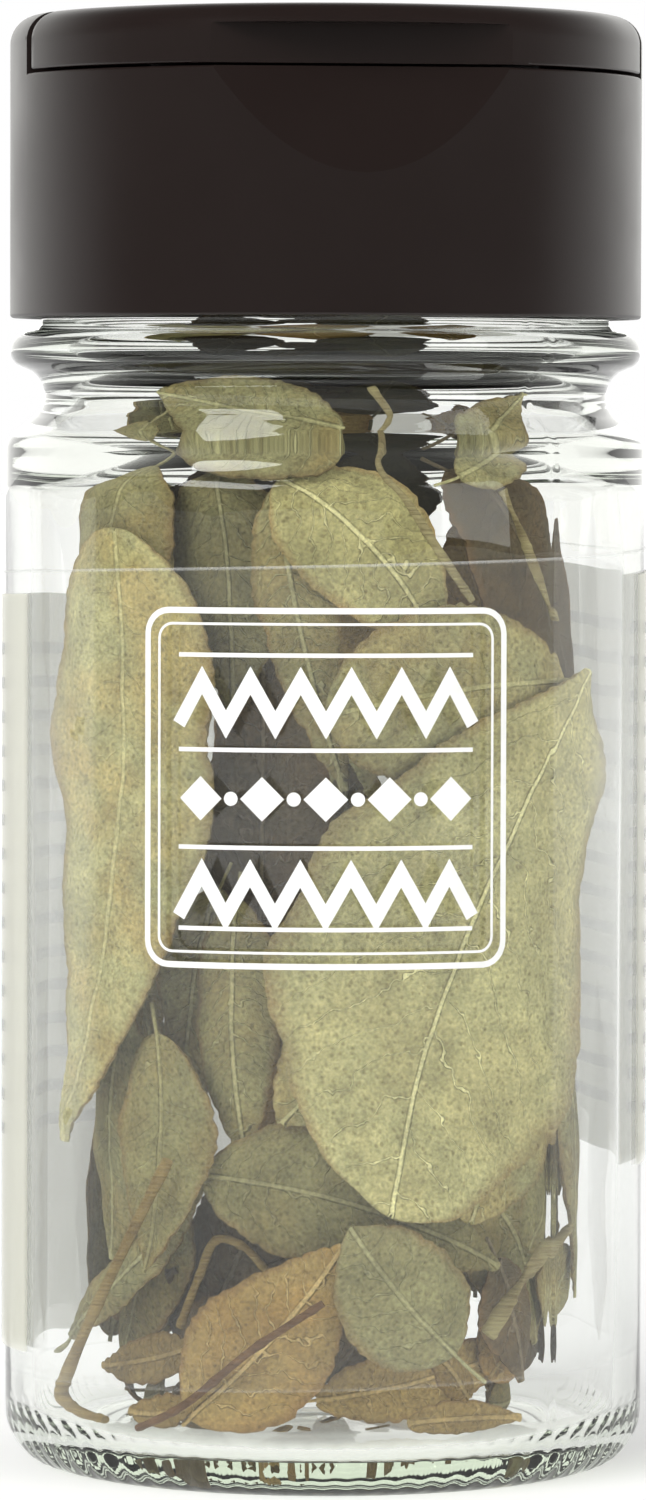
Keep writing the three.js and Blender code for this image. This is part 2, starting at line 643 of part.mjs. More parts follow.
/** Leaves standing in the middle, each on a layer of its own, spread all round. */
function coreLeafShapes() {
  const random = randomNumbers(29);
  const { count, layer, step, length, width, middle } = coreLeaves;
  return Array.from({ length: count }, (_, i) => {
    const angle = i * 150 - 20;
    const half = (length * (0.9 + 0.2 * random())) / 2;
    const height = middle + (i % 2 ? -12 : 12) * random();
    const depth = layer + step * i;
    return {
      name: `leaf_core_${i + 1}`,
      base: [angle, height - half],
      tip: [angle + 40 * (random() - 0.5), height + half],
      width,
      layers: [depth, depth],
      cup: 0.2,
      tone: i % 3 === 2 ? 'olive' : 'dark',
    };
  });
}

/** A bare stalk: a six-sided tube through its points. */
function makeStalk({ name, radius, points }) {
  const centres = points.map(([angle, height, layer]) =>
    onWall(radians(angle), height, layer, radius));
  const path = new THREE.CatmullRomCurve3(centres);
  const section = new THREE.Shape().absarc(0, 0, radius, 0, 2 * Math.PI);
  const options = { steps: 12, curveSegments: 3, extrudePath: path };
  return piece(name, closed(new THREE.ExtrudeGeometry(section, options)), 'stalk');
}

// ---------------------------------------------------------------- assembly

const group = new THREE.Group();
group.add(makeJar(), makeLabel(), makeCap());
group.add(...[...wallLeaves, ...backLeafShapes(), ...coreLeafShapes()].map(makeWallLeaf));
group.add(...floorLeaves.map(makeFloorLeaf));
group.add(...stalks.map(makeStalk));

export default group;
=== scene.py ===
"""
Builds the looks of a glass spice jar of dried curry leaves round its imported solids.

In the tables and constants, sizes are millimetres and angles are degrees round the jar from its
front, positive towards +X. The front faces -Y. Functions take angles in radians.
"""
import math
import random
from functools import partial
from typing import NamedTuple

import bmesh
import bpy
from bpy.props import FloatProperty, FloatVectorProperty, IntProperty, PointerProperty
from mathutils import Matrix, Vector, noise


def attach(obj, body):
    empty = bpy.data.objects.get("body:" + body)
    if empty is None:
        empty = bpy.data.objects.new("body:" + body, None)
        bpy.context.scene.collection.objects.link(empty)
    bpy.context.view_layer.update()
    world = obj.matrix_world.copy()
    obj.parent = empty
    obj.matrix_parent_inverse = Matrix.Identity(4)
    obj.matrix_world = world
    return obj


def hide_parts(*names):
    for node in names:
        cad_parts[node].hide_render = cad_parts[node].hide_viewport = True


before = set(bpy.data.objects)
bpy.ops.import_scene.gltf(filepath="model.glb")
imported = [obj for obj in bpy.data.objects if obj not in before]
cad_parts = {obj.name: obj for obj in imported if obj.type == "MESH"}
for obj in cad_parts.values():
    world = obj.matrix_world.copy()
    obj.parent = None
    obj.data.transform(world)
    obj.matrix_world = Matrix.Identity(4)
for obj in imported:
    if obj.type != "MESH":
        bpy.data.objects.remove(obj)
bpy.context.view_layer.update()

bl_info = {
    "name": "Spice Jar of Dried Curry Leaves",
    "version": (1, 0, 0),
    "blender": (4, 5, 0),
    "location": "3D View > Sidebar > Spice Jar",
    "description": "Makes the glass, label, flap cap and dried leaves of a spice jar",
    "category": "Add Mesh",
}

MM = 0.001

# ------------------------------------------------------------------ sizes of the solids, in mm

JAR_BODY = 22.4
JAR_BORE = 20.6
NECK_OUTER = 19.9
NECK_BORE = 17.9
FLOOR_TOP = 2.8
FLOOR_RISE = 0.6
INNER_CORNER = 2.0
BORE_NARROWS = 68.4
BORE_NECK = 74.2
HEEL_CENTRE = (18.8, 4.5)
HEEL_RADII = (3.6, 4.5)
NECK_TOP = 91
LIP_TOP = 91.9
THREAD_START = 82.3
THREAD_PITCH = 4.2
THREAD_TURNS = 1.5
THREAD_HALF = 0.95
THREAD_HEIGHT = 0.8
SHOULDER = ((20.6, 71), (1.8, 1.8))
WAIST = ((21.65, 74.95), (1.95, 1.95))
BEAD = ((20.8, 78.05), (1.3, 1.3))
SEAM_ANGLE = 44
SEAM_HEIGHT = 0.05
GLASS_STEPS = 456
GLASS_DENSITY = 24.0

LABEL_BOTTOM = 7.6
LABEL_TOP = 63.5
LABEL_RADIUS = 22.5
LABEL_THICKNESS = 0.15
LABEL_SLOPE = 0.0244
LABEL_SEAM = 3.0
PRINT_BLUR = 0.1
PANEL_RIGHT = 29.55
PANEL_LEFT = -25.75
PANEL_RIGHT_FOOT = 20.6
PANEL_LEFT_FOOT = 9.2
PANEL_TOP = 61.9
BAR_PITCH = 2.4
BAR_SHARE = 0.34
BAR_START = 31.6
BAR_END = 51.0
BAR_END_SPREAD = 9.0
BAR_TOP = 59.5
BAR_FOOT = 22.5
INK_THICKNESS = 0.03
# Half width, foot, top and corner radius of each frame, and how wide its line is.
DESIGN_FRAMES = (((12.6, 36.4, 60.4, 1.6), 0.42), ((11.7, 37.3, 59.5, 1.0), 0.18))
DESIGN_MIDDLE = 0.1
DESIGN_HALF = 10.2
DESIGN_ZIGZAGS = (54.2, 41.2)
DESIGN_LINES = (57.4, 51.0, 44.4, 38.9)
SPOT_PITCH = 4.3
SPOT_HEIGHT = 47.7

CAP_RADIUS = 22.1
CAP_BORE = 21.0
CAP_BOTTOM = 80.3
CAP_SPLIT = 97.3
CAP_TOP = 101.35
CAP_EDGE = 2.0
CAP_CLEARANCE = 0.2
CAP_STEPS = 288
DECK_TOP = 97.1
DECK_BOTTOM = 96.0
SEAL_BORE = 18.0
SEAL_BOTTOM = 92.2
CAP_TURN = 7.0
BAR_HALF = 5.25
HINGE_LINE = 5.72
WEB_HALF = 13.0
WEB_THICKNESS = 0.5
WEB_GAP = 0.3
FLAP_FACE = 6.2
FLAP_WALL = 1.0
FLAP_PLATE = 1.1
THUMB_DEPTH = 2.55
THUMB_DROP = 7.4
THUMB_HALF = 10.4
THUMB_RIM = 100.0
THUMB_WALL = 1.1
MOUTH_CHORD = 8.0
MOUTH_RADIUS = 15.8
MOUTH_CORNER = 1.8
MOUTH_RIM = 0.9
MOUTH_RIM_HEIGHT = 0.7
MOUTH_WALL_BACK = 10.8
SIFTER_HOLE = 1.6
SIFTER_RING = 12.2
SIFTER_SPREAD = 24.0
SIFTER_COUNT = 5
SIFTER_ROW = 8.9

LEAF_SOLID = 0.6
LEAF_CLEARANCE = 0.2
LEAF_SPACING = 0.8
WARP_HEIGHT = 0.22
WARP_MOST = 4
WARP_TURNS = 2
WARP_RISE = 9
WARP_SWAY = 14
# How a blade's edge sways and ripples and where it is notched: length and depth of each.
EDGE_SWAY = (8, 0.2)
EDGE_RIPPLE = (1.9, 0.3)
EDGE_NOTCH = (1.1, 0.24)
# How a dried blade is crumpled: length and height of its waves, and how far it may go.
CRUMPLE_BROAD = (6.5, 0.4)
CRUMPLE_SMALL = (2.4, 0.17)
CRUMPLE_LIMITS = (-0.27, 0.5)
BLADE_ROW = 0.32
BLADE_COLUMN = 0.6
# What each vertex of a leaf tells the leaf's material.
LEAF_VALUES = ("across", "along", "half", "vein_gap", "shade", "seed", "veins", "warmth")


class Leaf(NamedTuple):
    """One dried leaflet: base and tip of its blade, how it lies, and how it looks."""

    name: str
    base: tuple
    tip: tuple
    width: float
    layers: tuple
    tone: str
    bend: float = 0.0
    cup: float = 0.0
    petiole: float = 2.0
    swell: float = 0.62
    blunt: float = 0.95
    # shade scales the leaf's brightness. It matches each leaf's tone, and for some leaves it is also
    # painted shade and painted light: lower deep in the jar and in the neck under the cap, higher where a
    # leaf catches more light.
    shade: float = 1.0
    veins: float = 0.45
    warmth: float = 0.75


# base and tip are (angle, height); layers counts the leaves between the glass and each end.
WALL_LEAVES = [
    Leaf("leaf_front_brown", (-27, 5.2), (4, 17.2), 10, (1.05, 1.05), "brown", -0.6, 0.1, 1,
         shade=1.08, veins=0.8),
    Leaf("leaf_front_round", (26, 9.6), (5, 18.6), 9.4, (0, 0), "green", 0.4, 0.1, 3,
         blunt=0.8, shade=1.06, veins=0.4, warmth=0.2),
    Leaf("leaf_front_wide", (-28, 21.6), (41, 15.2), 10.4, (3.4, 2.45), "olive", 1.4, 0.1, 0,
         shade=0.98, veins=0.4, warmth=0.5),
    # Its raised shade is partly painted light, for the light that falls on it from the right.
    Leaf("leaf_centre_large", (61, 56), (13, 19.4), 24.6, (0.1, 0.2), "pale", -3.2, 0, 0,
         swell=0.85, blunt=0.55, shade=1.12, veins=0.8, warmth=0.2),
    Leaf("leaf_centre_under", (52, 47), (31, 18.6), 14, (1.25, 1.25), "pale", 1, 0.1,
         blunt=0.6, shade=0.86),
    Leaf("leaf_centre_left", (26, 42), (-9, 25.4), 12.5, (2.3, 2.15), "pale", 1, blunt=0.75, shade=0.82),
    Leaf("leaf_upper_right", (55, 55.4), (1, 53.2), 12, (1.3, 1.35), "pale", -0.6, 0.1,
         blunt=0.5, shade=0.9, veins=0.25),
    Leaf("leaf_upper_diagonal", (-9, 69.6), (26, 57), 9.4, (1.25, 2.7), "olive", 1.2, 0.1,
         shade=1.75, veins=0.6, warmth=0.1),
    Leaf("leaf_upper_narrow", (-10, 69), (5, 48), 5.6, (2.4, 3.7), "green", -0.8, 0.2, shade=1.12),
    Leaf("leaf_neck_left", (4, 71.6), (-40, 75.2), 7.4, (0.2, 0.2), "pale", 0, 0, 0,
         blunt=0.7, shade=0.62, veins=0.6, warmth=0.9),
    Leaf("leaf_neck_right", (27, 69.6), (49, 75.2), 5, (0.2, 0.2), "pale", -0.6, 0.2, shade=0.75),
    Leaf("leaf_shoulder_left", (-28, 71.6), (-23, 53), 9, (3.6, 3.9), "green", 0.8, 0.2,
         shade=0.78, warmth=0.3),
    Leaf("leaf_left_long", (-43, 65.6), (-58, 23.6), 13.6, (0, 0), "pale", 3, 0, 0,
         swell=0.42, blunt=0.85, shade=1.04, veins=0.16, warmth=0.9),
    Leaf("leaf_left_rolled", (-42, 71.4), (-50, 56), 9.6, (1.2, 1.2), "olive", -1, 0.5,
         shade=1.1, veins=0.3),
    Leaf("leaf_left_brownish", (-36, 31.4), (-41, 14.8), 8, (1.4, 1.6), "olive", 1, 0.2,
         shade=1.12, veins=0.3),
    Leaf("leaf_left_grey", (-50, 33), (-62, 15), 9.2, (2.7, 3.6), "green", 0.5, 0.3),
    Leaf("leaf_left_tucked", (-29, 41), (-37, 25.4), 7, (5.3, 6.3), "olive", -1, 0.3, shade=1.25),
    Leaf("leaf_left_curled", (-21, 40.4), (-18, 22), 6.6, (3.4, 4.4), "olive", -0.6, 0.7, shade=1.25),
    # The dark tone and lowered shade here are painted shade, for a leaf that lies in shadow.
    Leaf("leaf_right_dark", (30, 71), (68, 50), 10.6, (2.5, 2.5), "dark", 2, 0.3, shade=0.85, veins=0.2),
    Leaf("leaf_low_slender", (-73, 9.4), (-28, 21.8), 3.6, (1.5, 4.7), "green", -0.8, 0.2, 3),
    Leaf("leaf_low_left", (-33, 9.6), (-66, 7.4), 3.4, (4, 3.6), "brown", 0.3, 0.2, shade=0.75, warmth=0.2),
    Leaf("leaf_right_edge", (74, 46), (76, 12), 7.4, (2.6, 2.6), "green", -0.8, 0.3),
    Leaf("leaf_low_right", (45, 15.4), (57, 6.6), 5, (3.6, 3.6), "dark", 0.4, 0.3, shade=1.2),
    Leaf("leaf_low_right_wide", (40, 21), (70, 9), 9, (4.8, 4.8), "olive", 0.8, 0.2),
    Leaf("leaf_low_left_wide", (-42, 20), (-64, 7.4), 8, (5.6, 5), "olive", -0.6, 0.2),
    Leaf("leaf_foot_scrap", (-30, 5.6), (-46, 5), 2.6, (2.4, 2.4), "brown", 0.3, 0.1, 1,
         shade=0.75, warmth=0.2),
    Leaf("leaf_foot_right", (17, 5), (42, 4.9), 2.6, (0.6, 0.6), "brown", 0.2, 0, 0, shade=0.9, warmth=0.2),
    Leaf("leaf_low_brown", (-2, 5.8), (72, 9.4), 5.2, (7, 6), "brown", -0.4, 0.1, shade=1.2, warmth=0.1),
    Leaf("leaf_low_shade_left", (-44, 6.6), (-4, 23), 11, (8, 8), "dark", 1, 0.3, shade=0.7),
    Leaf("leaf_low_shade_right", (4, 7.6), (40, 22), 10, (9.2, 9.2), "dark", -1, 0.3, shade=0.7),
    # The next two are painted shade: leaves darkened to a shade of 0.25 and 0.2 so that the neck under the
    # cap comes out dark.
    Leaf("leaf_neck_back_left", (205, 62), (212, 83), 10, (1.3, 1.3), "dark", 0.8, 0.2, shade=0.25),
    Leaf("leaf_neck_back_right", (168, 64), (160, 86), 11, (2, 2), "olive", -0.6, 0.2, shade=0.2),
]

# On the floor of the jar base and tip are (x, y), and layers holds the height of each end.
FLOOR_LEAVES = [
    Leaf("leaf_floor_right", (0.5, 2.5), (13.5, 1), 6.4, (0, 2), "brown", 0.6, 0.2),
    Leaf("leaf_floor_back", (-12, 5), (6, 9.5), 7.4, (0.2, 1.2), "dark", -1, 0.2),
]

# Angle, height, layer and tone of the torn pieces that fill particular gaps.
SCRAPS = [
    (58, 16, 4.4, "olive"), (66, 11, 3.6, "green"), (52, 7, 5.4, "brown"), (70, 20, 4, "pale"),
    # The three dark pieces high at the back are painted shade: they darken the neck under the cap.
    (176, 77, 2.2, "dark"), (188, 79, 3.2, "dark"), (180, 73, 2.8, "dark"),
]
SCRAP_COUNT = 30
CRUMB_COUNT = 18
BACK_SPREAD = (46, 48, 36)
BACK_HEIGHTS = (20, 40, 58)
BACK_LENGTH = 25
BACK_WIDTH = 11.5
BACK_TONES = ("olive", "green", "pale", "brown")
CORE_COUNT = 6
CORE_LAYER = 7.4
CORE_STEP = 1.15
CORE_LENGTH = 30
CORE_WIDTH = 11
CORE_MIDDLE = 38


class Stalk(NamedTuple):
    """A bare stalk, or a leaf's stem or rolled edge, as a tube that may be flat and twisted."""

    name: str
    radius: float
    points: list
    bark: str = "woody"
    flat: float = 1.0
    twist: float = 0.0


# Points are (angle, height, layer), from end to end.
STALKS = [
    Stalk("stalk_front", 0.32, [(-38, 4.2, 0.1), (-27, 6.2, 0), (-14, 10, 0), (0, 13.4, 0)],
          "purplish"),
    Stalk("stalk_left", 0.42, [(-31, 22.8, 0), (-45, 14.4, 0), (-58, 7.6, 0), (-62, 5.6, 0.2),
                               (-56, 4.7, 0.4), (-48, 4.4, 0.5)]),
    Stalk("stem_neck_curled", 0.36, [(10, 75.8, 0.1), (14, 72.6, 0.2), (10.5, 70.6, 0.2),
                                     (16, 67.6, 0.1), (22, 64.4, 0), (29, 61, 0)],
          "leafy", 0.6, 200),
    Stalk("stem_right_strip", 0.4, [(37, 68.6, 0.6), (41, 66, 0.5), (45, 63, 0.3),
                                    (50, 59.6, 0.1)], "leafy", 0.45, 240),
    Stalk("stem_right_twisted", 0.7, [(37, 10.6, 1.2), (44, 13.6, 1.1), (52, 16, 1),
                                      (61, 17.4, 1)], "leafy", 0.42, 330),
    Stalk("stem_left_loop", 0.34, [(-39, 10.8, 4.6), (-33, 14.4, 4.8), (-28, 17, 5),
                                   (-21, 16.6, 5.2), (-15, 15, 5.4)]),
]

# ------------------------------------------------------------------ settings that a user changes


def linear(hex_code):
    """An sRGB hex colour as linear red, green and blue."""
    parts = [int(hex_code[i:i + 2], 16) / 255 for i in (1, 3, 5)]
    return tuple(c / 12.92 if c <= 0.04045 else ((c + 0.055) / 1.055) ** 2.4 for c in parts)


def colour(name, description, hex_code):
    """A colour that the user can change."""
    return FloatVectorProperty(
        name=name, description=description, subtype="COLOR", size=3, min=0, max=1,
        default=linear(hex_code))


def millimetres(name, description, size):
    """A small length that the user can change; its default is a size in mm."""
    return FloatProperty(
        name=name, description=description, default=size * MM, unit="LENGTH", precision=5)


class JarSettings(bpy.types.PropertyGroup):
    """Sizes and colours of the glass jar."""

    rib_count: IntProperty(
        name="Heel ribs", description="Moulded ribs round the heel", default=76, min=12)
    rib_height: millimetres("Rib height", "How far a heel rib stands out", 0.09)
    ripple: millimetres("Ripple", "Unevenness of the blown inside", 0.07)
    tint: colour("Tint", "Colour that light takes in thick glass", "#c2d6b2")


class LabelSettings(bpy.types.PropertyGroup):
    """Colours of the wrap label."""

    panel: colour("Panel", "Printed panel round the back", "#e9e8d9")
    ink: colour("Ink", "White print on the clear front", "#fbfbf8")
    bars: colour("Bars", "Small bars on the panel", "#8b8d80")
    haze: FloatProperty(
        name="Haze", description="How milky each face of the clear film is", default=0.012,
        min=0, max=1, subtype="FACTOR")


class CapSettings(bpy.types.PropertyGroup):
    """Colour and edges of the cap."""

    plastic: colour("Plastic", "Moulded polypropylene", "#201816")
    edge: millimetres("Edge", "Rounding of the moulded edges", 0.14)


class LeafSettings(bpy.types.PropertyGroup):
    """Colours and thickness of the dried leaves."""

    pale: colour("Pale", "Pale yellow-green leaves", "#aea878")
    olive: colour("Olive", "Olive leaves", "#857f57")
    green: colour("Green", "Grey-green leaves", "#8a855f")
    brown: colour("Brown", "Leaves dried brown", "#97804f")
    # The dark tone is partly painted shade. Leaves deep in the jar and leaves that lie in shadow take this
    # colour, on top of their own darker brown, where light would dim them.
    dark: colour("Dark", "Dark leaves deep in the jar", "#625741")
    rim: colour("Rim", "Edges that dried brown", "#735836")
    stalk: colour("Stalk", "Woody stalks", "#968150")
    purple: colour("Purple stalk", "Purplish stalks of the youngest leaves", "#6f5236")
    stem: colour("Stem", "Leaf stems and rolled leaf edges", "#a59a70")
    thickness: millimetres("Thickness", "Thickness of a dried blade", 0.24)


class StageSettings(bpy.types.PropertyGroup):
    """Light and camera."""

    key_power: FloatProperty(
        name="Key light", description="Power of the front softbox", default=7.4, min=0,
        subtype="POWER")
    fill_power: FloatProperty(
        name="Fill light", description="Power of the softbox on the right", default=3.0, min=0,
        subtype="POWER")
    distance: millimetres("Camera distance", "From the jar's axis to the camera", 535)


# ------------------------------------------------------------------ mesh helpers


def arc(centre, radii, start, end, steps):
    """Points on a circular or elliptical arc, in degrees, both ends included."""
    angles = [math.radians(start + (end - start) * i / steps) for i in range(steps + 1)]
    return [(centre[0] + radii[0] * math.cos(a), centre[1] + radii[1] * math.sin(a))
            for a in angles]


def steps_between(start, end, count):
    """Evenly spaced numbers, without the last."""
    return [start + (end - start) * i / count for i in range(count)]


def clamp(value, low=0.0, high=1.0):
    return max(low, min(high, value))


def smooth_step(value, low, high):
    share = clamp((value - low) / (high - low))
    return share * share * (3 - 2 * share)


def lathe(profile, steps):
    """A closed profile of (radius, height) points in mm, turned about the Z axis."""
    bm = bmesh.new()
    verts = [bm.verts.new((radius * MM, 0, height * MM)) for radius, height in profile]
    edges = [bm.edges.new(pair) for pair in zip(verts, verts[1:])]
    bmesh.ops.spin(
        bm, geom=verts + edges, cent=(0, 0, 0), axis=(0, 0, 1), dvec=(0, 0, 0),
        angle=2 * math.pi, steps=steps, use_merge=True, use_duplicate=False)
    bmesh.ops.remove_doubles(bm, verts=bm.verts, dist=1e-7)
    bmesh.ops.recalc_face_normals(bm, faces=bm.faces)
    return bm


def raised(outline, bottom, top):
    """A flat outline of (x, y) points in mm raised from one height to another."""
    bm = bmesh.new()
    face = bm.faces.new([bm.verts.new((x * MM, y * MM, bottom * MM)) for x, y in outline])
    grown = bmesh.ops.extrude_face_region(bm, geom=[face])["geom"]
    moved = [item for item in grown if isinstance(item, bmesh.types.BMVert)]
    bmesh.ops.translate(bm, verts=moved, vec=(0, 0, (top - bottom) * MM))
    bmesh.ops.recalc_face_normals(bm, faces=bm.faces)
    return bm


def block(low, high):
    """A box between two corners in mm."""
    bm = bmesh.new()
    size = [high[i] - low[i] for i in range(3)]
    middle = [(high[i] + low[i]) / 2 for i in range(3)]
    place = Matrix.Translation(Vector(middle) * MM) @ Matrix.Diagonal((*[s * MM for s in size], 1))
    bmesh.ops.create_cube(bm, size=1, matrix=place)
    return bm


def rotate(bm, angle, axis):
    """Turns a whole mesh about an axis through the origin."""
    bmesh.ops.rotate(bm, verts=bm.verts, cent=(0, 0, 0), matrix=Matrix.Rotation(angle, 3, axis))


def as_object(bm, name):
    """Links a new object that holds the mesh."""
    mesh = bpy.data.meshes.new(name)
    bm.to_mesh(mesh)
    bm.free()
    obj = bpy.data.objects.new(name, mesh)
    bpy.context.scene.collection.objects.link(obj)
    return obj


def finish_piece(obj, body, materials, nodes=(), crease=None):
    """Shades a piece, gives it its materials, ties it to its body and hides the solids that it stands for.
    """
    obj.data.shade_smooth()
    if crease:
        obj.data.set_sharp_from_angle(angle=math.radians(crease))
    for material in materials:
        obj.data.materials.append(material)
    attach(obj, body)
    if nodes:
        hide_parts(*nodes)


def combined(base, others):
    """Joins ("UNION") or cuts ("DIFFERENCE", "INTERSECT") solids in turn, as one new bmesh."""
    target = as_object(base, "work_base")
    tools = []
    for operation, bm in others:
        tool = as_object(bm, "work_tool")
        modifier = target.modifiers.new(operation, "BOOLEAN")
        modifier.operation = operation
        modifier.object = tool
        modifier.solver = "EXACT"
        tools.append(tool)
    bpy.context.view_layer.update()
    result = target.evaluated_get(bpy.context.evaluated_depsgraph_get())
    bm = bmesh.new()
    bm.from_mesh(result.to_mesh())
    for obj in (target, *tools):
        mesh = obj.data
        bpy.data.objects.remove(obj)
        bpy.data.meshes.remove(mesh)
    if not bm.faces:
        raise RuntimeError("joining and cutting left nothing of this piece")
    return bm


# ------------------------------------------------------------------ material helpers


def add_node(tree, kind, inputs=(), **settings):
    """Adds a shader node, sets its settings, and sets or links its inputs in order or by name."""
    node = tree.nodes.new(f"ShaderNode{kind}")
    for name, value in settings.items():
        setattr(node, name, value)
    for key, value in inputs.items() if isinstance(inputs, dict) else enumerate(inputs):
        if isinstance(value, bpy.types.Node):
            value = next(output for output in value.outputs if output.enabled)
        if isinstance(value, bpy.types.NodeSocket):
            tree.links.new(value, node.inputs[key])
        else:
            node.inputs[key].default_value = value
    return node


def new_material(name):
    """A material with no nodes yet, and the function that adds one to it."""
    material = bpy.data.materials.new(name)
    material.use_nodes = True
    material.node_tree.nodes.clear()
    return material, partial(add_node, material.node_tree)


def rgba(base, *factors):
    """A linear colour with its alpha, brightened or dulled by one factor or one a channel."""
    factors = factors * 3 if len(factors) == 1 else factors or (1, 1, 1)
    return (*[min(1, value * factor) for value, factor in zip(base, factors)], 1)


def pattern_scale(size):
    """The scale, in Object coordinates, of a pattern whose features are a size in mm wide."""
    return 1 / (size * MM)


def clear_soda_glass(jar):
    """Fire-polished soda-lime glass: clear in a thin wall, green where the light goes far."""
    material, add = new_material("clear_soda_glass")
    glass = add("BsdfPrincipled", {
        "Base Color": (1, 1, 1, 1), "Roughness": 0.0, "IOR": 1.5, "Transmission Weight": 1.0})
    open_way = add("BsdfTransparent", [(0.975, 0.985, 0.97, 1)])
    path = add("LightPath")
    # Lamps and light from the leaves pass straight through, so that the jar's inside is lit.
    for_leaves = add("MixShader", [path.outputs["Is Diffuse Ray"], glass, open_way])
    surface = add("MixShader", [path.outputs["Is Shadow Ray"], for_leaves, open_way])
    volume = add("VolumeAbsorption", {"Color": rgba(jar.tint), "Density": GLASS_DENSITY})
    add("OutputMaterial", {"Surface": surface, "Volume": volume})
    return material


def printed_film(label):
    """Clear polypropylene film, slightly milky, printed pale over the back of the jar."""
    material, add = new_material("printed_polypropylene_film")
    around = add("Attribute", attribute_name="around").outputs["Fac"]
    height = add("Attribute", attribute_name="height").outputs["Fac"]
    right, right_foot, left, left_foot, top = [
        add("MapRange", [value, line, line + step], interpolation_type="SMOOTHSTEP")
        for value, line, step in (
            (around, PANEL_RIGHT, PRINT_BLUR), (height, PANEL_RIGHT_FOOT, PRINT_BLUR),
            (around, PANEL_LEFT, -PRINT_BLUR), (height, PANEL_LEFT_FOOT, PRINT_BLUR),
            (height, PANEL_TOP, -PRINT_BLUR))]
    right_part = add("Math", [right, right_foot], operation="MULTIPLY")
    left_part = add("Math", [left, left_foot], operation="MULTIPLY")
    both = add("Math", [right_part, left_part], operation="MAXIMUM")
    panel = add("Math", [both, top], operation="MULTIPLY")
    # Small bars in rows stand where small print would be, and each row has its own length.
    row = add("Math", [height, BAR_PITCH], operation="DIVIDE")
    row_share = add("Math", [row], operation="FRACT")
    row_number = add("Math", [row], operation="FLOOR")
    on_left = add("Math", [around, 0.0], operation="LESS_THAN")
    row_name = add("Math", [on_left, 100.0, row_number], operation="MULTIPLY_ADD")
    chance = add("TexWhiteNoise", {"W": row_name}, noise_dimensions="1D")
    row_end = add("Math", [chance, BAR_END_SPREAD, BAR_END], operation="MULTIPLY_ADD")
    reach = add("Math", [around], operation="ABSOLUTE")
    bars = add("Math", [row_share, BAR_SHARE], operation="LESS_THAN")
    for value, limit, test in (
            (reach, BAR_START, "GREATER_THAN"), (reach, row_end, "LESS_THAN"),
            (height, BAR_TOP, "LESS_THAN"), (height, BAR_FOOT, "GREATER_THAN")):
        met = add("Math", [value, limit], operation=test)
        bars = add("Math", [bars, met], operation="MULTIPLY")
    ink = add("Mix", {0: bars, 6: rgba(label.panel), 7: rgba(label.bars)}, data_type="RGBA")
    shade = add("Mix", {0: panel, 6: (0.9, 0.91, 0.88, 1), 7: ink}, data_type="RGBA")
    # The cut edge of the film scatters light, which draws a thin pale line along it.
    top_edge = add("MapRange", [height, LABEL_TOP - 0.25, LABEL_TOP - 0.1])
    foot_edge = add("MapRange", [height, LABEL_BOTTOM + 0.25, LABEL_BOTTOM + 0.1])
    foot_edge = add("Math", [foot_edge, 0.25], operation="MULTIPLY")
    cut = add("Math", [top_edge, foot_edge], operation="MAXIMUM")
    clear = add("MapRange", {0: cut, 3: label.haze, 4: 0.16})
    cover = add("MapRange", {0: panel, 3: clear, 4: 0.4})
    film = add("BsdfPrincipled", {
        "Base Color": shade, "Roughness": 0.34, "IOR": 1.49, "Alpha": cover})
    add("OutputMaterial", {"Surface": film})
    return material


def white_ink(label):
    """Matt white screen ink, dense, with a faint unevenness where it was laid thinner."""
    material, add = new_material("white_screen_ink")
    place = add("TexCoord").outputs["Object"]
    grain = add("TexNoise", {"Vector": place, "Scale": pattern_scale(1.11), "Detail": 3.0})
    tone = add("MapRange", [grain, 0.3, 0.7, 0.0, 1.0])
    shade = add("Mix", {0: tone, 6: rgba(label.ink, 0.93), 7: rgba(label.ink)}, data_type="RGBA")
    ink = add("BsdfPrincipled", {"Base Color": shade, "Roughness": 0.5})
    add("OutputMaterial", {"Surface": ink})
    return material


def satin_polypropylene(cap):
    """Injection-moulded polypropylene with a fine satin spark-eroded texture, almost black."""
    material, add = new_material("satin_polypropylene")
    place = add("TexCoord").outputs["Object"]
    # A spark-eroded grain is about 0.03 mm; it is drawn four times as coarse so that it shows.
    grain = add("TexNoise", {
        "Vector": place, "Scale": pattern_scale(0.125), "Detail": 2.0, "Roughness": 0.6})
    flow = add("TexNoise", {
        "Vector": place, "Scale": pattern_scale(14.3), "Detail": 4.0, "Roughness": 0.55})
    sheen = add("MapRange", [flow, 0.3, 0.7, 0.29, 0.39])
    tone = add("MapRange", [flow, 0.3, 0.7, 0.0, 1.0])
    shade = add("Mix", {0: tone, 6: rgba(cap.plastic), 7: rgba(cap.plastic, 1.18)},
                data_type="RGBA")
    relief = add("Bump", {"Height": grain, "Strength": 0.25, "Distance": 0.02 * MM})
    plastic = add("BsdfPrincipled", {
        "Base Color": shade, "Roughness": sheen, "IOR": 1.49, "Normal": relief})
    add("OutputMaterial", {"Surface": plastic})
    return material


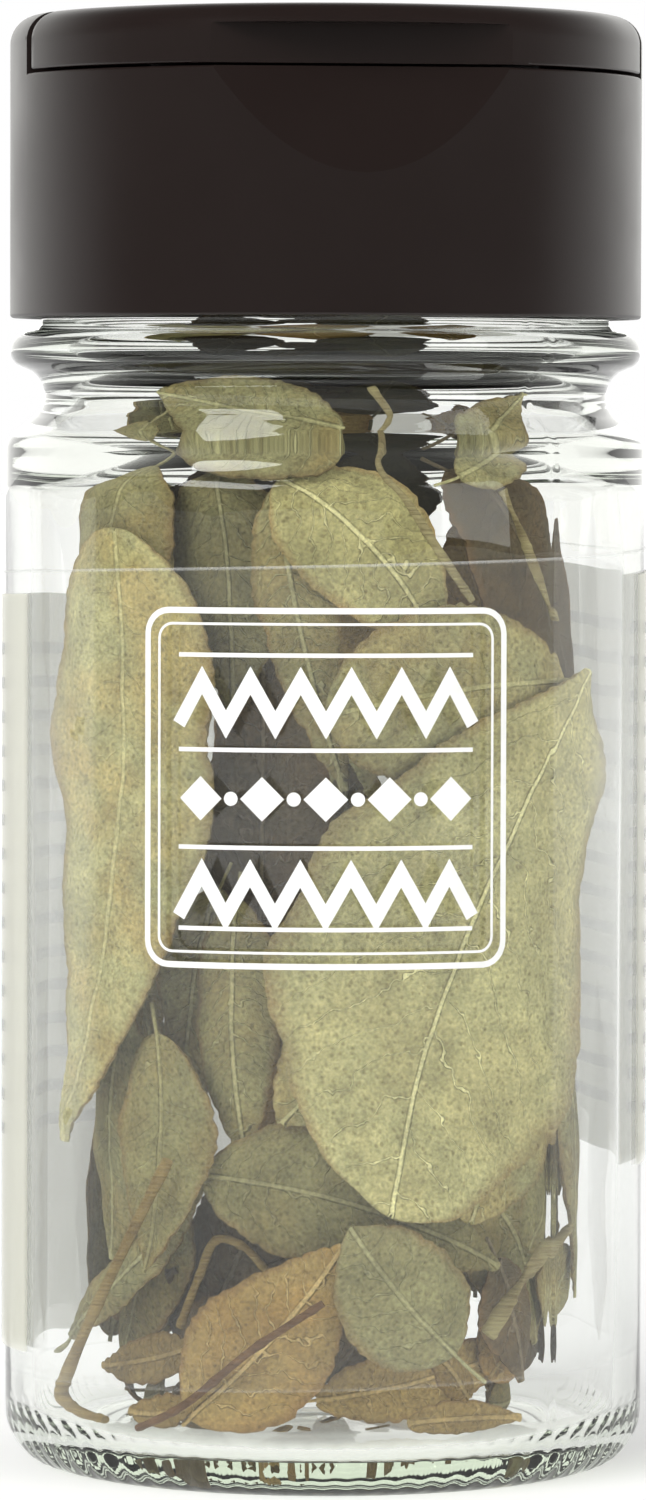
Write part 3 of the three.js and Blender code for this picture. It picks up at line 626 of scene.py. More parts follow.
def dried_leaf(tone, base, rim):
    """A dried leaf: matt, dusty and mottled, with faint veins, oil dots and a browned edge."""
    material, add = new_material(f"dried_leaf_{tone}")
    across, along, half, gap, shade, seed, strength, warmth = [
        add("Attribute", attribute_name=name).outputs["Fac"] for name in LEAF_VALUES]
    place = add("TexCoord").outputs["Object"]
    side = add("Math", [across], operation="ABSOLUTE")
    flat = add("CombineXYZ", [across, along, seed])
    patch = add("TexNoise", {"Vector": flat, "Scale": 1 / 6.25, "Detail": 3.0, "Roughness": 0.55})

    # Side veins leave the midrib at about 50 degrees, wander, and bend towards the tip.
    wander = add("TexNoise", {"Vector": flat, "Scale": 0.3, "Detail": 3.0})
    lean = add("Math", [side, -0.75, along], operation="MULTIPLY_ADD")
    squared = add("Math", [side, side], operation="MULTIPLY")
    curved = add("Math", [squared, -0.03, lean], operation="MULTIPLY_ADD")
    other_side = add("Math", [across, 0.0], operation="GREATER_THAN")
    offset = add("Math", [other_side, 1.3, curved], operation="MULTIPLY_ADD")
    shifted = add("Math", [wander, 6.0, offset], operation="MULTIPLY_ADD")
    step = add("Math", [shifted, gap], operation="DIVIDE")
    share = add("Math", [step], operation="FRACT")
    centred = add("Math", [share, 0.5], operation="SUBTRACT")
    spread = add("Math", [centred], operation="ABSOLUTE")
    distance = add("Math", [spread, gap], operation="MULTIPLY")
    side_vein = add("MapRange", [distance, 0.13, 0.03], interpolation_type="SMOOTHSTEP")
    to_edge = add("Math", [side, half], operation="DIVIDE")
    fade = add("MapRange", [to_edge, 0.95, 0.3, 0.1, 0.9])
    seen = add("MapRange", [patch, 0.36, 0.5, 0.6, 1.0])
    for factor in (fade, seen, strength):
        side_vein = add("Math", [side_vein, factor], operation="MULTIPLY")
    side_vein = add("Math", [side_vein, 1.7], operation="MULTIPLY", use_clamp=True)
    midrib = add("MapRange", [side, 0.26, 0.1], interpolation_type="SMOOTHSTEP")
    midrib_strength = add("Math", [strength, 0.9, 0.3], operation="MULTIPLY_ADD", use_clamp=True)
    midrib = add("Math", [midrib, midrib_strength], operation="MULTIPLY")
    main_veins = add("Math", [side_vein, midrib], operation="MAXIMUM")

    # The net of smallest veins closes round fields about 0.7 mm wide.
    net = add("TexVoronoi", {"Vector": flat, "Scale": 1.4}, feature="DISTANCE_TO_EDGE")
    net_line = add("MapRange", [net, 0.1, 0.02, 0.0, 0.1])
    veins = add("Math", [main_veins, net_line], operation="MAXIMUM")

    # Oil dots, about 0.2 mm across and 0.5 mm apart.
    dots = add("TexVoronoi", {"Vector": flat, "Scale": 1 / 0.5})
    dot = add("MapRange", [dots, 0.36, 0.18, 0.0, 0.65])

    # Blotches a few millimetres wide, and a dust of shrunken cells, drawn coarse so that it shows.
    mottle = add("TexNoise", {
        "Vector": place, "Scale": pattern_scale(2.94), "Detail": 8.0, "Roughness": 0.72})
    dust = add("TexNoise", {
        "Vector": place, "Scale": pattern_scale(0.278), "Detail": 3.0, "Roughness": 0.75})
    broad_light = add("MapRange", [mottle, 0.36, 0.64, 0.76, 1.25])
    fine_light = add("MapRange", [dust, 0.36, 0.64, 0.76, 1.24])
    brightness = add("Math", [broad_light, fine_light], operation="MULTIPLY")
    # The leaf's shade value scales it as well, partly as painted shade and painted light.
    brightness = add("Math", [brightness, shade], operation="MULTIPLY")
    dry = add("MapRange", [patch, 0.42, 0.6, 0.0, 1.0])
    dry = add("Math", [dry, warmth], operation="MULTIPLY")
    ragged = add("Math", [mottle, 0.35, to_edge], operation="MULTIPLY_ADD")
    edge = add("MapRange", [ragged, 1.0, 1.2, 0.0, 0.95 if tone == "brown" else 0.7])

    pale_vein = (*[min(1, value * 1.55 + 0.04) for value in base], 1)
    blade = rgba(base)
    for share_of, layer in ((dry, rgba(base, 1.04, 0.87, 0.72)), (dot, rgba(base, 0.55, 0.5, 0.44)),
                            (edge, rgba(rim)), (veins, pale_vein)):
        blade = add("Mix", {0: share_of, 6: blade, 7: layer}, data_type="RGBA")
    lit = add("CombineColor", [brightness] * 3)
    blade = add("Mix", {0: 1.0, 6: blade, 7: lit}, data_type="RGBA", blend_type="MULTIPLY")
    height = add("Math", [mottle, 0.8, main_veins], operation="MULTIPLY_ADD")
    height = add("Math", [dust, 0.4, height], operation="MULTIPLY_ADD")
    relief = add("Bump", {"Height": height, "Strength": 1.0, "Distance": 0.3 * MM})
    leaf = add("BsdfPrincipled", {
        "Base Color": blade, "Roughness": 0.8, "Specular IOR Level": 0.25, "Normal": relief})
    add("OutputMaterial", {"Surface": leaf})
    return material


def dried_stalk(bark, base):
    """A dried stalk or stem: matt, wrinkled along its length, with darker scars."""
    material, add = new_material(f"dried_{bark}_stalk")
    along = add("Attribute", attribute_name="along").outputs["Fac"]
    turn = add("Attribute", attribute_name="across").outputs["Fac"]
    place = add("TexCoord").outputs["Object"]
    # Wrinkles are about 0.17 mm apart and 2 mm long.
    skin_place = add("CombineXYZ", [turn, along])
    drawn_out = add("Mapping", {"Vector": skin_place, "Scale": (6.0, 0.5, 1.0)})
    wrinkle = add("TexNoise", {"Vector": drawn_out, "Scale": 1.0, "Detail": 4.0, "Roughness": 0.6})
    patch = add("TexNoise", {"Vector": place, "Scale": pattern_scale(2.38), "Detail": 4.0})
    mixed = add("Math", [wrinkle, patch], operation="MULTIPLY")
    tone = add("MapRange", [mixed, 0.12, 0.36, 0.0, 1.0])
    shade = add("Mix", {0: tone, 6: rgba(base, 0.5, 0.44, 0.42), 7: rgba(base, 1.25)},
                data_type="RGBA")
    relief = add("Bump", {"Height": mixed, "Strength": 1.0, "Distance": 0.5 * MM})
    skin = add("BsdfPrincipled", {
        "Base Color": shade, "Roughness": 0.82, "Specular IOR Level": 0.3, "Normal": relief})
    add("OutputMaterial", {"Surface": skin})
    return material


# ------------------------------------------------------------------ glass


def bore_radius(height):
    """Radius of the jar's bore at a height, in mm."""
    corner_top = FLOOR_TOP + INNER_CORNER
    if height < corner_top:
        below = min(corner_top - height, INNER_CORNER)
        return JAR_BORE - INNER_CORNER + math.sqrt(INNER_CORNER ** 2 - below ** 2)
    share = smooth_step(height, BORE_NARROWS, BORE_NECK)
    return JAR_BORE + (NECK_BORE - JAR_BORE) * share


def jar_profile():
    """The jar's section from the middle of its underside over the lip to the middle of its floor."""
    outer = [
        (0, 1.5), (5, 1.43), (10, 1.2), (13.5, 0.8), (15.4, 0.42), (16.2, 0.12), (16.7, 0),
        *arc(HEEL_CENTRE, HEEL_RADII, -90, 0, 22),
        *[(JAR_BODY, height) for height in (6, 10, 20, 30, 40, 50, 58, 64, 68, 70)],
        *arc(*SHOULDER, 0, 62, 12),
        *arc(*WAIST, 240, 120, 18),
        *arc(*BEAD, -50, 82, 18),
        (NECK_OUTER + 0.3, 79.45), (NECK_OUTER, 79.8),
        *[(NECK_OUTER, height) for height in steps_between(80.2, NECK_TOP, 54)],
        *arc((NECK_OUTER - 0.9, NECK_TOP), (0.9, LIP_TOP - NECK_TOP), 0, 90, 6),
    ]
    inner = [
        *arc((NECK_BORE + 0.5, LIP_TOP - 0.6), (0.5, 0.6), 100, 180, 4),
        *[(NECK_BORE, height) for height in (88, 84, 80, 77, 75.2)],
        *[(bore_radius(height), height) for height in steps_between(BORE_NECK, 68, 20)],
        *[(JAR_BORE, height) for height in (67, 64, 58, 50, 40, 30, 20, 10)],
        *arc((JAR_BORE - INNER_CORNER, FLOOR_TOP + INNER_CORNER),
             (INNER_CORNER, INNER_CORNER), 0, -90, 8),
        (15, 2.92), (10, 3.08), (5, 3.24), (0, FLOOR_TOP + FLOOR_RISE),
    ]
    return outer + inner


def thread_height(angle, height):
    """How far the screw thread stands out of the neck at an angle and height, in mm."""
    most = 0.0
    for turn in range(2):
        total = angle % (2 * math.pi) + 2 * math.pi * turn
        along = total / (2 * math.pi * THREAD_TURNS)
        if along > 1:
            continue
        fade = clamp(min(along, 1 - along) * 10)
        away = abs(height - THREAD_START - along * THREAD_TURNS * THREAD_PITCH)
        if away < THREAD_HALF:
            crest = math.cos(math.pi / 2 * away / THREAD_HALF) ** 0.8
            most = max(most, THREAD_HEIGHT * fade * crest)
    return most


def rib_height(angle, height, radius, jar):
    """How far a heel rib stands out at a point of the heel, in metres."""
    foot, top = 0.1, 4.2
    if not foot < height < top or radius < HEEL_CENTRE[0] - 0.3:
        return 0.0
    window = smooth_step(height, foot, 0.6) * (1 - smooth_step(height, 2.9, top))
    ridge = 0.5 + 0.5 * math.cos(jar.rib_count * angle)
    return jar.rib_height * window * ridge ** 1.4


def inner_wave(spot):
    """Unevenness of the blown bore: upright streaks in the body, level ones in the shoulder."""
    streak = noise.noise(Vector((spot.x / 4, spot.y / 4, spot.z / 26)))
    ring = noise.noise(Vector((spot.x / 12, spot.y / 12, spot.z / 2.4)) + Vector((3, 8, 1)))
    high = smooth_step(spot.z, 64, 69)
    return (1 - high) * streak + 2.6 * high * ring


def make_glass(jar):
    """The jar as one closed skin: body, heel ribs, bead, thread, lip and bore."""
    bm = lathe(jar_profile(), GLASS_STEPS)
    for vert in bm.verts:
        radius = math.hypot(vert.co.x, vert.co.y) / MM
        height = vert.co.z / MM
        if radius < 1:
            continue
        angle = math.atan2(vert.co.x, -vert.co.y)
        outward = Vector((vert.co.x, vert.co.y, 0)).normalized()
        inside = height > FLOOR_TOP - 0.1 and radius < bore_radius(max(height, FLOOR_TOP)) + 0.6
        if inside:
            vert.co += outward * jar.ripple * inner_wave(vert.co / MM)
            continue
        rib = rib_height(angle, height, radius, jar)
        if rib:
            slope = Vector(((radius - HEEL_CENTRE[0]) / HEEL_RADII[0],
                            (height - HEEL_CENTRE[1]) / HEEL_RADII[1])).normalized()
            vert.co += (outward * slope.x + Vector((0, 0, slope.y))) * rib
        elif 80 < height < NECK_TOP and radius < NECK_OUTER + 0.1:
            vert.co += outward * thread_height(angle, height) * MM
        else:
            wave = noise.noise(vert.co / (12 * MM) + Vector((9, 4, 2)))
            vert.co += outward * jar.ripple * 0.3 * wave * smooth_step(height, HEEL_CENTRE[1], 8)
        # The two halves of the mould leave a fine seam.
        away = abs((math.degrees(angle) - SEAM_ANGLE + 90) % 180 - 90)
        seam = SEAM_HEIGHT * clamp(1 - away / 0.9) * smooth_step(height, 0.2, 2)
        vert.co += outward * seam * MM
    obj = as_object(bm, "jar_glass")
    finish_piece(obj, "jar", [clear_soda_glass(jar)], ["glass_jar"], 55)


# ------------------------------------------------------------------ label


def wrapped(around, height, radius):
    """The point at a distance round the jar from the front, a height and a radius, in mm."""
    angle = around / LABEL_RADIUS
    return Vector((radius * math.sin(angle), -radius * math.cos(angle), height)) * MM


def thicken(obj, name, thickness):
    """Gives a skin a thickness in mm, half of it on each side."""
    solid = obj.modifiers.new(name, "SOLIDIFY")
    solid.thickness = thickness * MM
    solid.offset = 0


def make_film(label):
    """The clear film: one strip round the body whose edges climb a little on the right."""
    bm = bmesh.new()
    around_layer = bm.verts.layers.float.new("around")
    height_layer = bm.verts.layers.float.new("height")
    grid = bmesh.ops.create_grid(bm, x_segments=300, y_segments=28, size=1)["verts"]
    reach = math.radians(180 - LABEL_SEAM / 2) * LABEL_RADIUS
    places = {vert: (vert.co.x * reach, (vert.co.y + 1) / 2) for vert in grid}
    middle = LABEL_RADIUS + LABEL_THICKNESS / 2
    for vert, (around, share) in places.items():
        height = LABEL_BOTTOM + (LABEL_TOP - LABEL_BOTTOM) * share
        vert[around_layer], vert[height_layer] = around, height
        vert.co = wrapped(around, height + LABEL_SLOPE * around, middle)
    obj = as_object(bm, "label_wrap")
    thicken(obj, "Film thickness", LABEL_THICKNESS)
    finish_piece(obj, "jar", [printed_film(label)], ["label_film"], 40)


def ribbon(bm, path, width, shut=False):
    """A flat band of even width along a path of (x, z) points in mm."""
    points = [Vector(p) for p in path]
    if shut:
        points.append(points[0].copy())
    band = bmesh.ops.create_grid(bm, x_segments=len(points) - 1, y_segments=1, size=1)["verts"]
    last = len(points) - 1
    for vert in band:
        index = round((vert.co.x + 1) / 2 * last)
        if shut:
            before, after = points[(index - 1) % last], points[(index + 1) % last]
        else:
            before, after = points[max(index - 1, 0)], points[min(index + 1, last)]
        here = points[index]
        into = (here - before).normalized() if here != before else (after - here).normalized()
        out = (after - here).normalized() if here != after else into
        way = (into + out).normalized()
        stretch = 1 / max(0.5, way.dot(into))
        side = Vector((-way.y, way.x)) * vert.co.y * width / 2 * stretch
        vert.co = Vector((here.x + side.x, here.y + side.y, 0))
    if shut:
        bmesh.ops.remove_doubles(bm, verts=band, dist=1e-5)


def disc(bm, centre, radius, corners):
    """A filled round or many-sided spot at (x, z) in mm."""
    turn = Matrix.Rotation(math.pi / 2, 4, "Z")
    place = Matrix.Translation((centre[0], centre[1], 0)) @ turn
    bmesh.ops.create_circle(bm, cap_ends=True, segments=corners, radius=radius, matrix=place)


def rounded_frame(half_width, low, high, corner):
    """Points round a rectangle with rounded corners, closely spaced along its sides."""
    outline = []
    for (x, z), start in (((half_width, high), 0), ((-half_width, high), 90),
                          ((-half_width, low), 180), ((half_width, low), 270)):
        centre = (x - math.copysign(corner, x), z - corner if z == high else z + corner)
        outline += arc(centre, (corner, corner), start, start + 90, 6)
    path = []
    for here, after in zip(outline, outline[1:] + outline[:1]):
        span = math.dist(here, after)
        count = max(1, round(span / 1.0))
        path += [(here[0] + (after[0] - here[0]) * i / count,
                  here[1] + (after[1] - here[1]) * i / count) for i in range(count)]
    return path


def zigzag(half_width, height, low, high, count):
    """Points of a zigzag round a middle height."""
    steps = count * 2
    return [(-half_width + 2 * half_width * i / steps, height + (high if i % 2 else low))
            for i in range(steps + 1)]


def make_print(label):
    """The white design on the clear front: two frames, zigzags, lines and a row of spots."""
    bm = bmesh.new()
    for outline, width in DESIGN_FRAMES:
        ribbon(bm, rounded_frame(*outline), width, shut=True)
    for height in DESIGN_ZIGZAGS:
        ribbon(bm, zigzag(DESIGN_HALF, height, -1.5, 1.5, 6), 0.95)
    for height in DESIGN_LINES:
        ribbon(bm, [(0.85 * i - DESIGN_HALF, height) for i in range(25)], 0.3)
    for place in range(-2, 3):
        disc(bm, (place * SPOT_PITCH, SPOT_HEIGHT), 1.5, 4)
    for place in range(-2, 2):
        disc(bm, ((place + 0.5) * SPOT_PITCH, SPOT_HEIGHT), 0.48, 20)
    outer = LABEL_RADIUS + LABEL_THICKNESS + INK_THICKNESS
    for vert in bm.verts:
        vert.co = wrapped(vert.co.x + DESIGN_MIDDLE, vert.co.y, outer)
    bmesh.ops.recalc_face_normals(bm, faces=bm.faces)
    obj = as_object(bm, "label_front_print")
    thicken(obj, "Ink thickness", INK_THICKNESS)
    finish_piece(obj, "jar", [white_ink(label)])
    # Screen ink has square edges, so its rim isn't shaded round.
    obj.data.shade_flat()


# ------------------------------------------------------------------ cap


def cap_envelope(bottom):
    """The cap's outside as one plain solid, from a height up to its rounded top."""
    edge = arc((CAP_RADIUS - CAP_EDGE, CAP_TOP - CAP_EDGE), (CAP_EDGE, CAP_EDGE), 0, 90, 10)
    return lathe([(0, bottom), (CAP_RADIUS, bottom), *edge, (0, CAP_TOP)], CAP_STEPS)


def mouth_outline(margin):
    """The D-shaped outline of the pour mouth, grown by a margin."""
    chord = MOUTH_CHORD - margin
    radius = MOUTH_RADIUS + margin
    corner = MOUTH_CORNER + margin
    corner_y = chord + corner
    corner_x = math.sqrt((radius - corner) ** 2 - corner_y ** 2)
    turn = math.degrees(math.atan2(corner_x, corner_y))
    return [
        *arc((0, 0), (radius, radius), -90 - turn, -90 + turn, 48)[:-1],
        *arc((corner_x, -corner_y), (corner, corner), -90 + turn, 90, 22),
        *arc((-corner_x, -corner_y), (corner, corner), 90, 270 - turn, 22)[:-1],
    ]


def sifter_holes():
    """The drills of the sifter: an arc of holes and a straight inner row."""
    bm = bmesh.new()
    places = []
    for i in range(SIFTER_COUNT):
        angle = math.radians((i - (SIFTER_COUNT - 1) / 2) * SIFTER_SPREAD)
        places.append((SIFTER_RING * math.sin(angle), SIFTER_RING * math.cos(angle)))
    places += [(-SIFTER_ROW / 4, SIFTER_ROW), (SIFTER_ROW / 4, SIFTER_ROW)]
    for x, y in places:
        place = Matrix.Translation(Vector((x, y, DECK_TOP)) * MM)
        bmesh.ops.create_cone(
            bm, cap_ends=True, segments=40, radius1=SIFTER_HOLE * MM, radius2=SIFTER_HOLE * MM,
            depth=4 * MM, matrix=place)
    return bm


def thumb_cutter():
    """The leaning block that cuts the flat for the thumb from the skirt."""
    lean = -math.atan2(THUMB_DEPTH, THUMB_DROP)
    bm = block((-15, -12, -12), (15, 0, 12))
    rotate(bm, lean, "X")
    shift = Vector((0, -(CAP_RADIUS - THUMB_DEPTH), CAP_SPLIT)) * MM
    bmesh.ops.translate(bm, verts=bm.verts, vec=shift)
    return bm


def skirt_profile():
    """Section of the cap's skirt, deck and seal ring."""
    return [
        (0, DECK_BOTTOM), (SEAL_BORE, DECK_BOTTOM), (SEAL_BORE, SEAL_BOTTOM),
        (CAP_BORE, SEAL_BOTTOM), (CAP_BORE, CAP_BOTTOM + 0.4), (CAP_BORE + 0.3, CAP_BOTTOM),
        *arc((CAP_RADIUS - 0.25, CAP_BOTTOM + 0.25), (0.25, 0.25), -90, 0, 9),
        *arc((CAP_RADIUS - 0.18, DECK_TOP - 0.18), (0.18, 0.18), 0, 90, 9),
        (0, DECK_TOP),
    ]


def hinge_web(low, high):
    """One side of the thin web that a flap turns on."""
    return block((-WEB_HALF, low, CAP_TOP - WEB_THICKNESS), (WEB_HALF, high, CAP_TOP))


def moulded(bm, name, body, node, cap, material):
    """Rounds the edges of a cap piece a little, turns it to where the screw stops, and ends it."""
    bmesh.ops.remove_doubles(bm, verts=bm.verts, dist=2e-6)
    bmesh.ops.dissolve_degenerate(bm, edges=bm.edges, dist=2e-6)
    sharp = [edge for edge in bm.edges
             if edge.is_manifold and edge.calc_face_angle(0) > math.radians(11.5)]
    bmesh.ops.bevel(
        bm, geom=sharp, offset=cap.edge, offset_type="OFFSET", affect="EDGES", segments=2,
        profile=0.5, material=-1, clamp_overlap=True)
    rotate(bm, math.radians(CAP_TURN), "Z")
    obj = as_object(bm, name)
    finish_piece(obj, body, [material], [node], 50)
    flats = obj.modifiers.new("Flat faces stay flat", "WEIGHTED_NORMAL")
    flats.keep_sharp = True


def make_cap_base(cap, material):
    """Screw skirt, deck with its holes, cross bar and the thumb's flat."""
    span = CAP_RADIUS + 1
    near = HINGE_LINE - WEB_GAP / 2
    strip = block((-span, -BAR_HALF, 90), (span, BAR_HALF, CAP_TOP + 1))
    bar = combined(cap_envelope(DECK_TOP - 0.5), [("INTERSECT", strip)])
    bm = combined(lathe(skirt_profile(), CAP_STEPS), [
        ("UNION", bar),
        ("UNION", hinge_web(-near, 1 - BAR_HALF)),
        ("UNION", hinge_web(BAR_HALF - 1, near)),
        ("UNION", raised(mouth_outline(MOUTH_RIM), DECK_TOP - 0.2, DECK_TOP + MOUTH_RIM_HEIGHT)),
        ("DIFFERENCE", raised(mouth_outline(0), DECK_BOTTOM - 1, DECK_TOP + 2)),
        ("DIFFERENCE", thumb_cutter()),
        ("DIFFERENCE", sifter_holes()),
    ])
    moulded(bm, "cap_base_moulded", "cap", "cap_base", cap, material)


def flap_shell():
    """A flap on the -Y side: plate, outer wall and hinge web."""
    edge_centre = (CAP_RADIUS - CAP_EDGE, CAP_TOP - CAP_EDGE)
    edge = arc(edge_centre, (CAP_EDGE, CAP_EDGE), 0, 90, 10)
    hollow = arc(edge_centre, (CAP_EDGE - FLAP_WALL, CAP_EDGE - FLAP_PLATE), 90, 0, 10)
    foot = arc((CAP_RADIUS - 0.18, CAP_SPLIT + 0.18), (0.18, 0.18), -90, 0, 9)
    profile = [(0, CAP_TOP - FLAP_PLATE), *hollow, (CAP_RADIUS - FLAP_WALL, CAP_SPLIT),
               *foot, *edge, (0, CAP_TOP)]
    span = CAP_RADIUS + 1
    side = block((-span, -span, CAP_SPLIT - 1), (span, -FLAP_FACE, CAP_TOP + 1))
    web = hinge_web(-FLAP_FACE - 1, -(HINGE_LINE + WEB_GAP / 2))
    return combined(lathe(profile, CAP_STEPS), [("INTERSECT", side), ("UNION", web)])


def seal_wall():
    """The wall under the front flap that closes round the front of the pour mouth."""
    bottom = DECK_TOP + CAP_CLEARANCE
    margin = MOUTH_RIM + CAP_CLEARANCE
    inside = raised(mouth_outline(margin), bottom - 1, CAP_TOP - FLAP_PLATE)
    front = block((-CAP_RADIUS, -CAP_RADIUS, bottom - 1), (CAP_RADIUS, -MOUTH_WALL_BACK, CAP_TOP))
    outside = raised(mouth_outline(margin + 0.8), bottom, CAP_TOP - FLAP_PLATE / 2)
    return combined(outside, [("DIFFERENCE", inside), ("INTERSECT", front)])


def make_front_flap(cap, material):
    """The pour flap, with the thumb's notch under an overhanging rim."""
    back = CAP_RADIUS - THUMB_DEPTH
    wall = block((-THUMB_HALF - THUMB_WALL, -back - 0.6, CAP_SPLIT),
                 (THUMB_HALF + THUMB_WALL, THUMB_WALL - back, CAP_TOP - 0.5))
    notch = block((-THUMB_HALF, -CAP_RADIUS - 1, CAP_SPLIT - 1), (THUMB_HALF, -back, THUMB_RIM))
    recess = combined(cap_envelope(CAP_SPLIT), [("INTERSECT", wall)])
    bm = combined(flap_shell(), [
        ("UNION", seal_wall()), ("UNION", recess), ("DIFFERENCE", notch)])
    moulded(bm, "flap_pour_moulded", "pour_flap", "flap_pour", cap, material)


def make_rear_flap(cap, material):
    """The sifter flap: the plain shell turned half round."""
    bm = flap_shell()
    rotate(bm, math.pi, "Z")
    moulded(bm, "flap_sift_moulded", "sift_flap", "flap_sift", cap, material)


# ------------------------------------------------------------------ leaves and stalks


def number_stream(seed):
    """Numbers from 0 to 1 that are the same on every run, and the same as the solids use."""
    state = float(seed)
    while True:
        state = math.fmod(state * 1103515245.0 + 12345.0, 2147483648.0)
        yield state / 2147483648.0


def around_axis(angle, radius, height):
    return Vector((radius * math.sin(angle), -radius * math.cos(angle), height))


def layer_depth(angle, height, layer, half):
    """How far in from the glass a layer lies; deeper ones share one gentle waviness."""
    wave = 1 + (math.sin(WARP_TURNS * angle + height / WARP_RISE)
                * math.cos(height / WARP_SWAY - angle))
    growth = WARP_HEIGHT * min(layer, WARP_MOST) * wave
    return LEAF_CLEARANCE + half + LEAF_SPACING * layer + growth


def on_wall(angle, height, layer, half, extra=0.0):
    """The point in mm at an angle and height on a layer; extra is a further distance inwards."""
    depth = layer_depth(angle, height, layer, half) + extra
    return around_axis(angle, bore_radius(height) - depth, height)


def outwards(point):
    return Vector((point.x, point.y, 0)).normalized()


def blade_outline(share, swell, blunt):
    """Half the blade's width at a share of its length, as a share of the widest."""
    widest = swell / (swell + blunt)
    most = widest ** swell * (1 - widest) ** blunt
    return share ** swell * (1 - share) ** blunt / most


def blade_half(leaf, share, side, seed, length):
    """Half the blade's width in mm: uneven, wavy and finely notched like a dried leaf's edge."""
    half = leaf.width / 2 * blade_outline(share, leaf.swell, leaf.blunt)
    hand = math.copysign(4, side)
    along = share * length
    half *= 1 + EDGE_SWAY[1] * noise.noise(Vector((along / EDGE_SWAY[0], hand, seed * 1.7)))
    half += EDGE_RIPPLE[1] * noise.noise(Vector((along / EDGE_RIPPLE[0], hand, seed * 2.3)))
    wander = 0.6 * noise.noise(Vector((along / 3, hand, seed)))
    notch = abs((along / EDGE_NOTCH[0] + wander) % 1 - 0.5) * 2
    return max(half - EDGE_NOTCH[1] * notch ** 3, 0.12)


def crumple(spot):
    """How far a dried blade stands off its smooth layer: broad waves, and small ones on them."""
    broad = CRUMPLE_BROAD[1] * noise.noise(spot / CRUMPLE_BROAD[0])
    small = CRUMPLE_SMALL[1] * noise.noise(spot / CRUMPLE_SMALL[0] + Vector((5, 1, 7)))
    return clamp(broad + small, *CRUMPLE_LIMITS)


def add_tube(bm, centre, radius, up, rows, sides, flat=1.0, twist=0.0):
    """Adds a closed tube along centre(share), with radius(share) in mm, flattened and twisted."""
    skin = bmesh.ops.create_grid(bm, x_segments=sides, y_segments=rows, size=1)["verts"]
    for vert in skin:
        turn, share = math.pi * (vert.co.x + 1), (vert.co.y + 1) / 2
        here = centre(share)
        forward = (centre(share + 0.01) - centre(share - 0.01)).normalized()
        side = forward.cross(up(here)).normalized()
        top = side.cross(forward)
        lean = math.radians(twist) * share
        wide, thin = math.cos(turn) * radius(share), math.sin(turn) * radius(share) * flat
        across = wide * math.cos(lean) - thin * math.sin(lean)
        rise = wide * math.sin(lean) + thin * math.cos(lean)
        vert.co = (here + side * across + top * rise) * MM
    bmesh.ops.remove_doubles(bm, verts=skin, dist=1e-7)
    bmesh.ops.holes_fill(bm, edges=[edge for edge in bm.edges if edge.is_boundary], sides=0)


def leaf_layers(bm):
    """The layers of a mesh that hold what the leaf materials read."""
    return {name: bm.verts.layers.float.new(name) for name in LEAF_VALUES}


def set_values(verts, layer, values):
    """Gives all the vertices the same values."""
    for vert in verts:
        for name, value in values.items():
            vert[layer[name]] = value


def make_blade(leaf, ends, place, up, seed, leaves, materials):
    """One leaf: a thin crumpled blade with an uneven edge, on a raised midrib and petiole."""
    start, end = Vector(ends[0]), Vector(ends[1])
    length = (end - start).length
    way = (end - start) / length
    side = Vector((-way.y, way.x))

    def lay(along, lateral, lift):
        spot = start + way * length * along + side * (lateral + leaf.bend * 4 * along * (1 - along))
        smooth = place(spot.x, spot.y, clamp(along), 0)
        return place(spot.x, spot.y, clamp(along), lift + crumple(smooth)) * MM

    bm = bmesh.new()
    layer = leaf_layers(bm)
    rows = round(clamp(length / BLADE_ROW, 28, 120))
    columns = round(clamp(leaf.width / BLADE_COLUMN, 8, 36) / 2) * 2
    grid = bmesh.ops.create_grid(bm, x_segments=columns, y_segments=rows, size=1)["verts"]
    for vert in grid:
        s = vert.co.x
        share = (1 - math.cos(math.pi * (vert.co.y + 1) / 2)) / 2
        half = blade_half(leaf, share, s, seed, length)
        rim = smooth_step(abs(s), 0.6, 1) * min(1.0, leaf.width / 9)
        curl = rim * (0.165 + 0.495 * noise.noise(Vector((share * 4, math.copysign(3, s), seed))))
        cup = leaf.cup * (s * half / (leaf.width / 2)) ** 2
        vert[layer["across"]] = s * half
        vert[layer["along"]] = share * length
        vert[layer["half"]] = half
        vert.co = lay(share, s * half, cup + curl)
    bmesh.ops.recalc_face_normals(bm, faces=bm.faces)
    bmesh.ops.solidify(bm, geom=list(bm.faces), thickness=leaves.thickness)
    thickest = 0.1 + leaf.width * 0.005
    rib_start = -leaf.petiole / length

    def rib_centre(share):
        return lay(rib_start + (0.92 - rib_start) * share, 0, 0.02) / MM

    add_tube(bm, rib_centre, lambda share: thickest * (1 - 0.7 * share), up, 34, 8)
    set_values(bm.verts, layer, {
        "vein_gap": clamp(leaf.width * 0.17, 1.3, 3.4), "shade": leaf.shade, "seed": seed * 7.3,
        "veins": leaf.veins, "warmth": leaf.warmth})
    bmesh.ops.recalc_face_normals(bm, faces=bm.faces)
    obj = as_object(bm, f"{leaf.name}_blade")
    nodes = [] if leaf.name.startswith("leaf_scrap") else [leaf.name]
    finish_piece(obj, "jar", [materials[leaf.tone]], nodes, 50)


def make_wall_leaf(leaf, seed, leaves, materials):
    """A leaf that stands against the glass or in a layer further in."""
    shell = JAR_BORE - LEAF_SPACING * (leaf.layers[0] + leaf.layers[1]) / 2
    ends = [(math.radians(angle) * shell, height) for angle, height in (leaf.base, leaf.tip)]

    def place(across, up, share, extra):
        layer = leaf.layers[0] + (leaf.layers[1] - leaf.layers[0]) * share
        return on_wall(across / shell, up, layer, LEAF_SOLID / 2, extra)

    make_blade(leaf, ends, place, outwards, seed, leaves, materials)


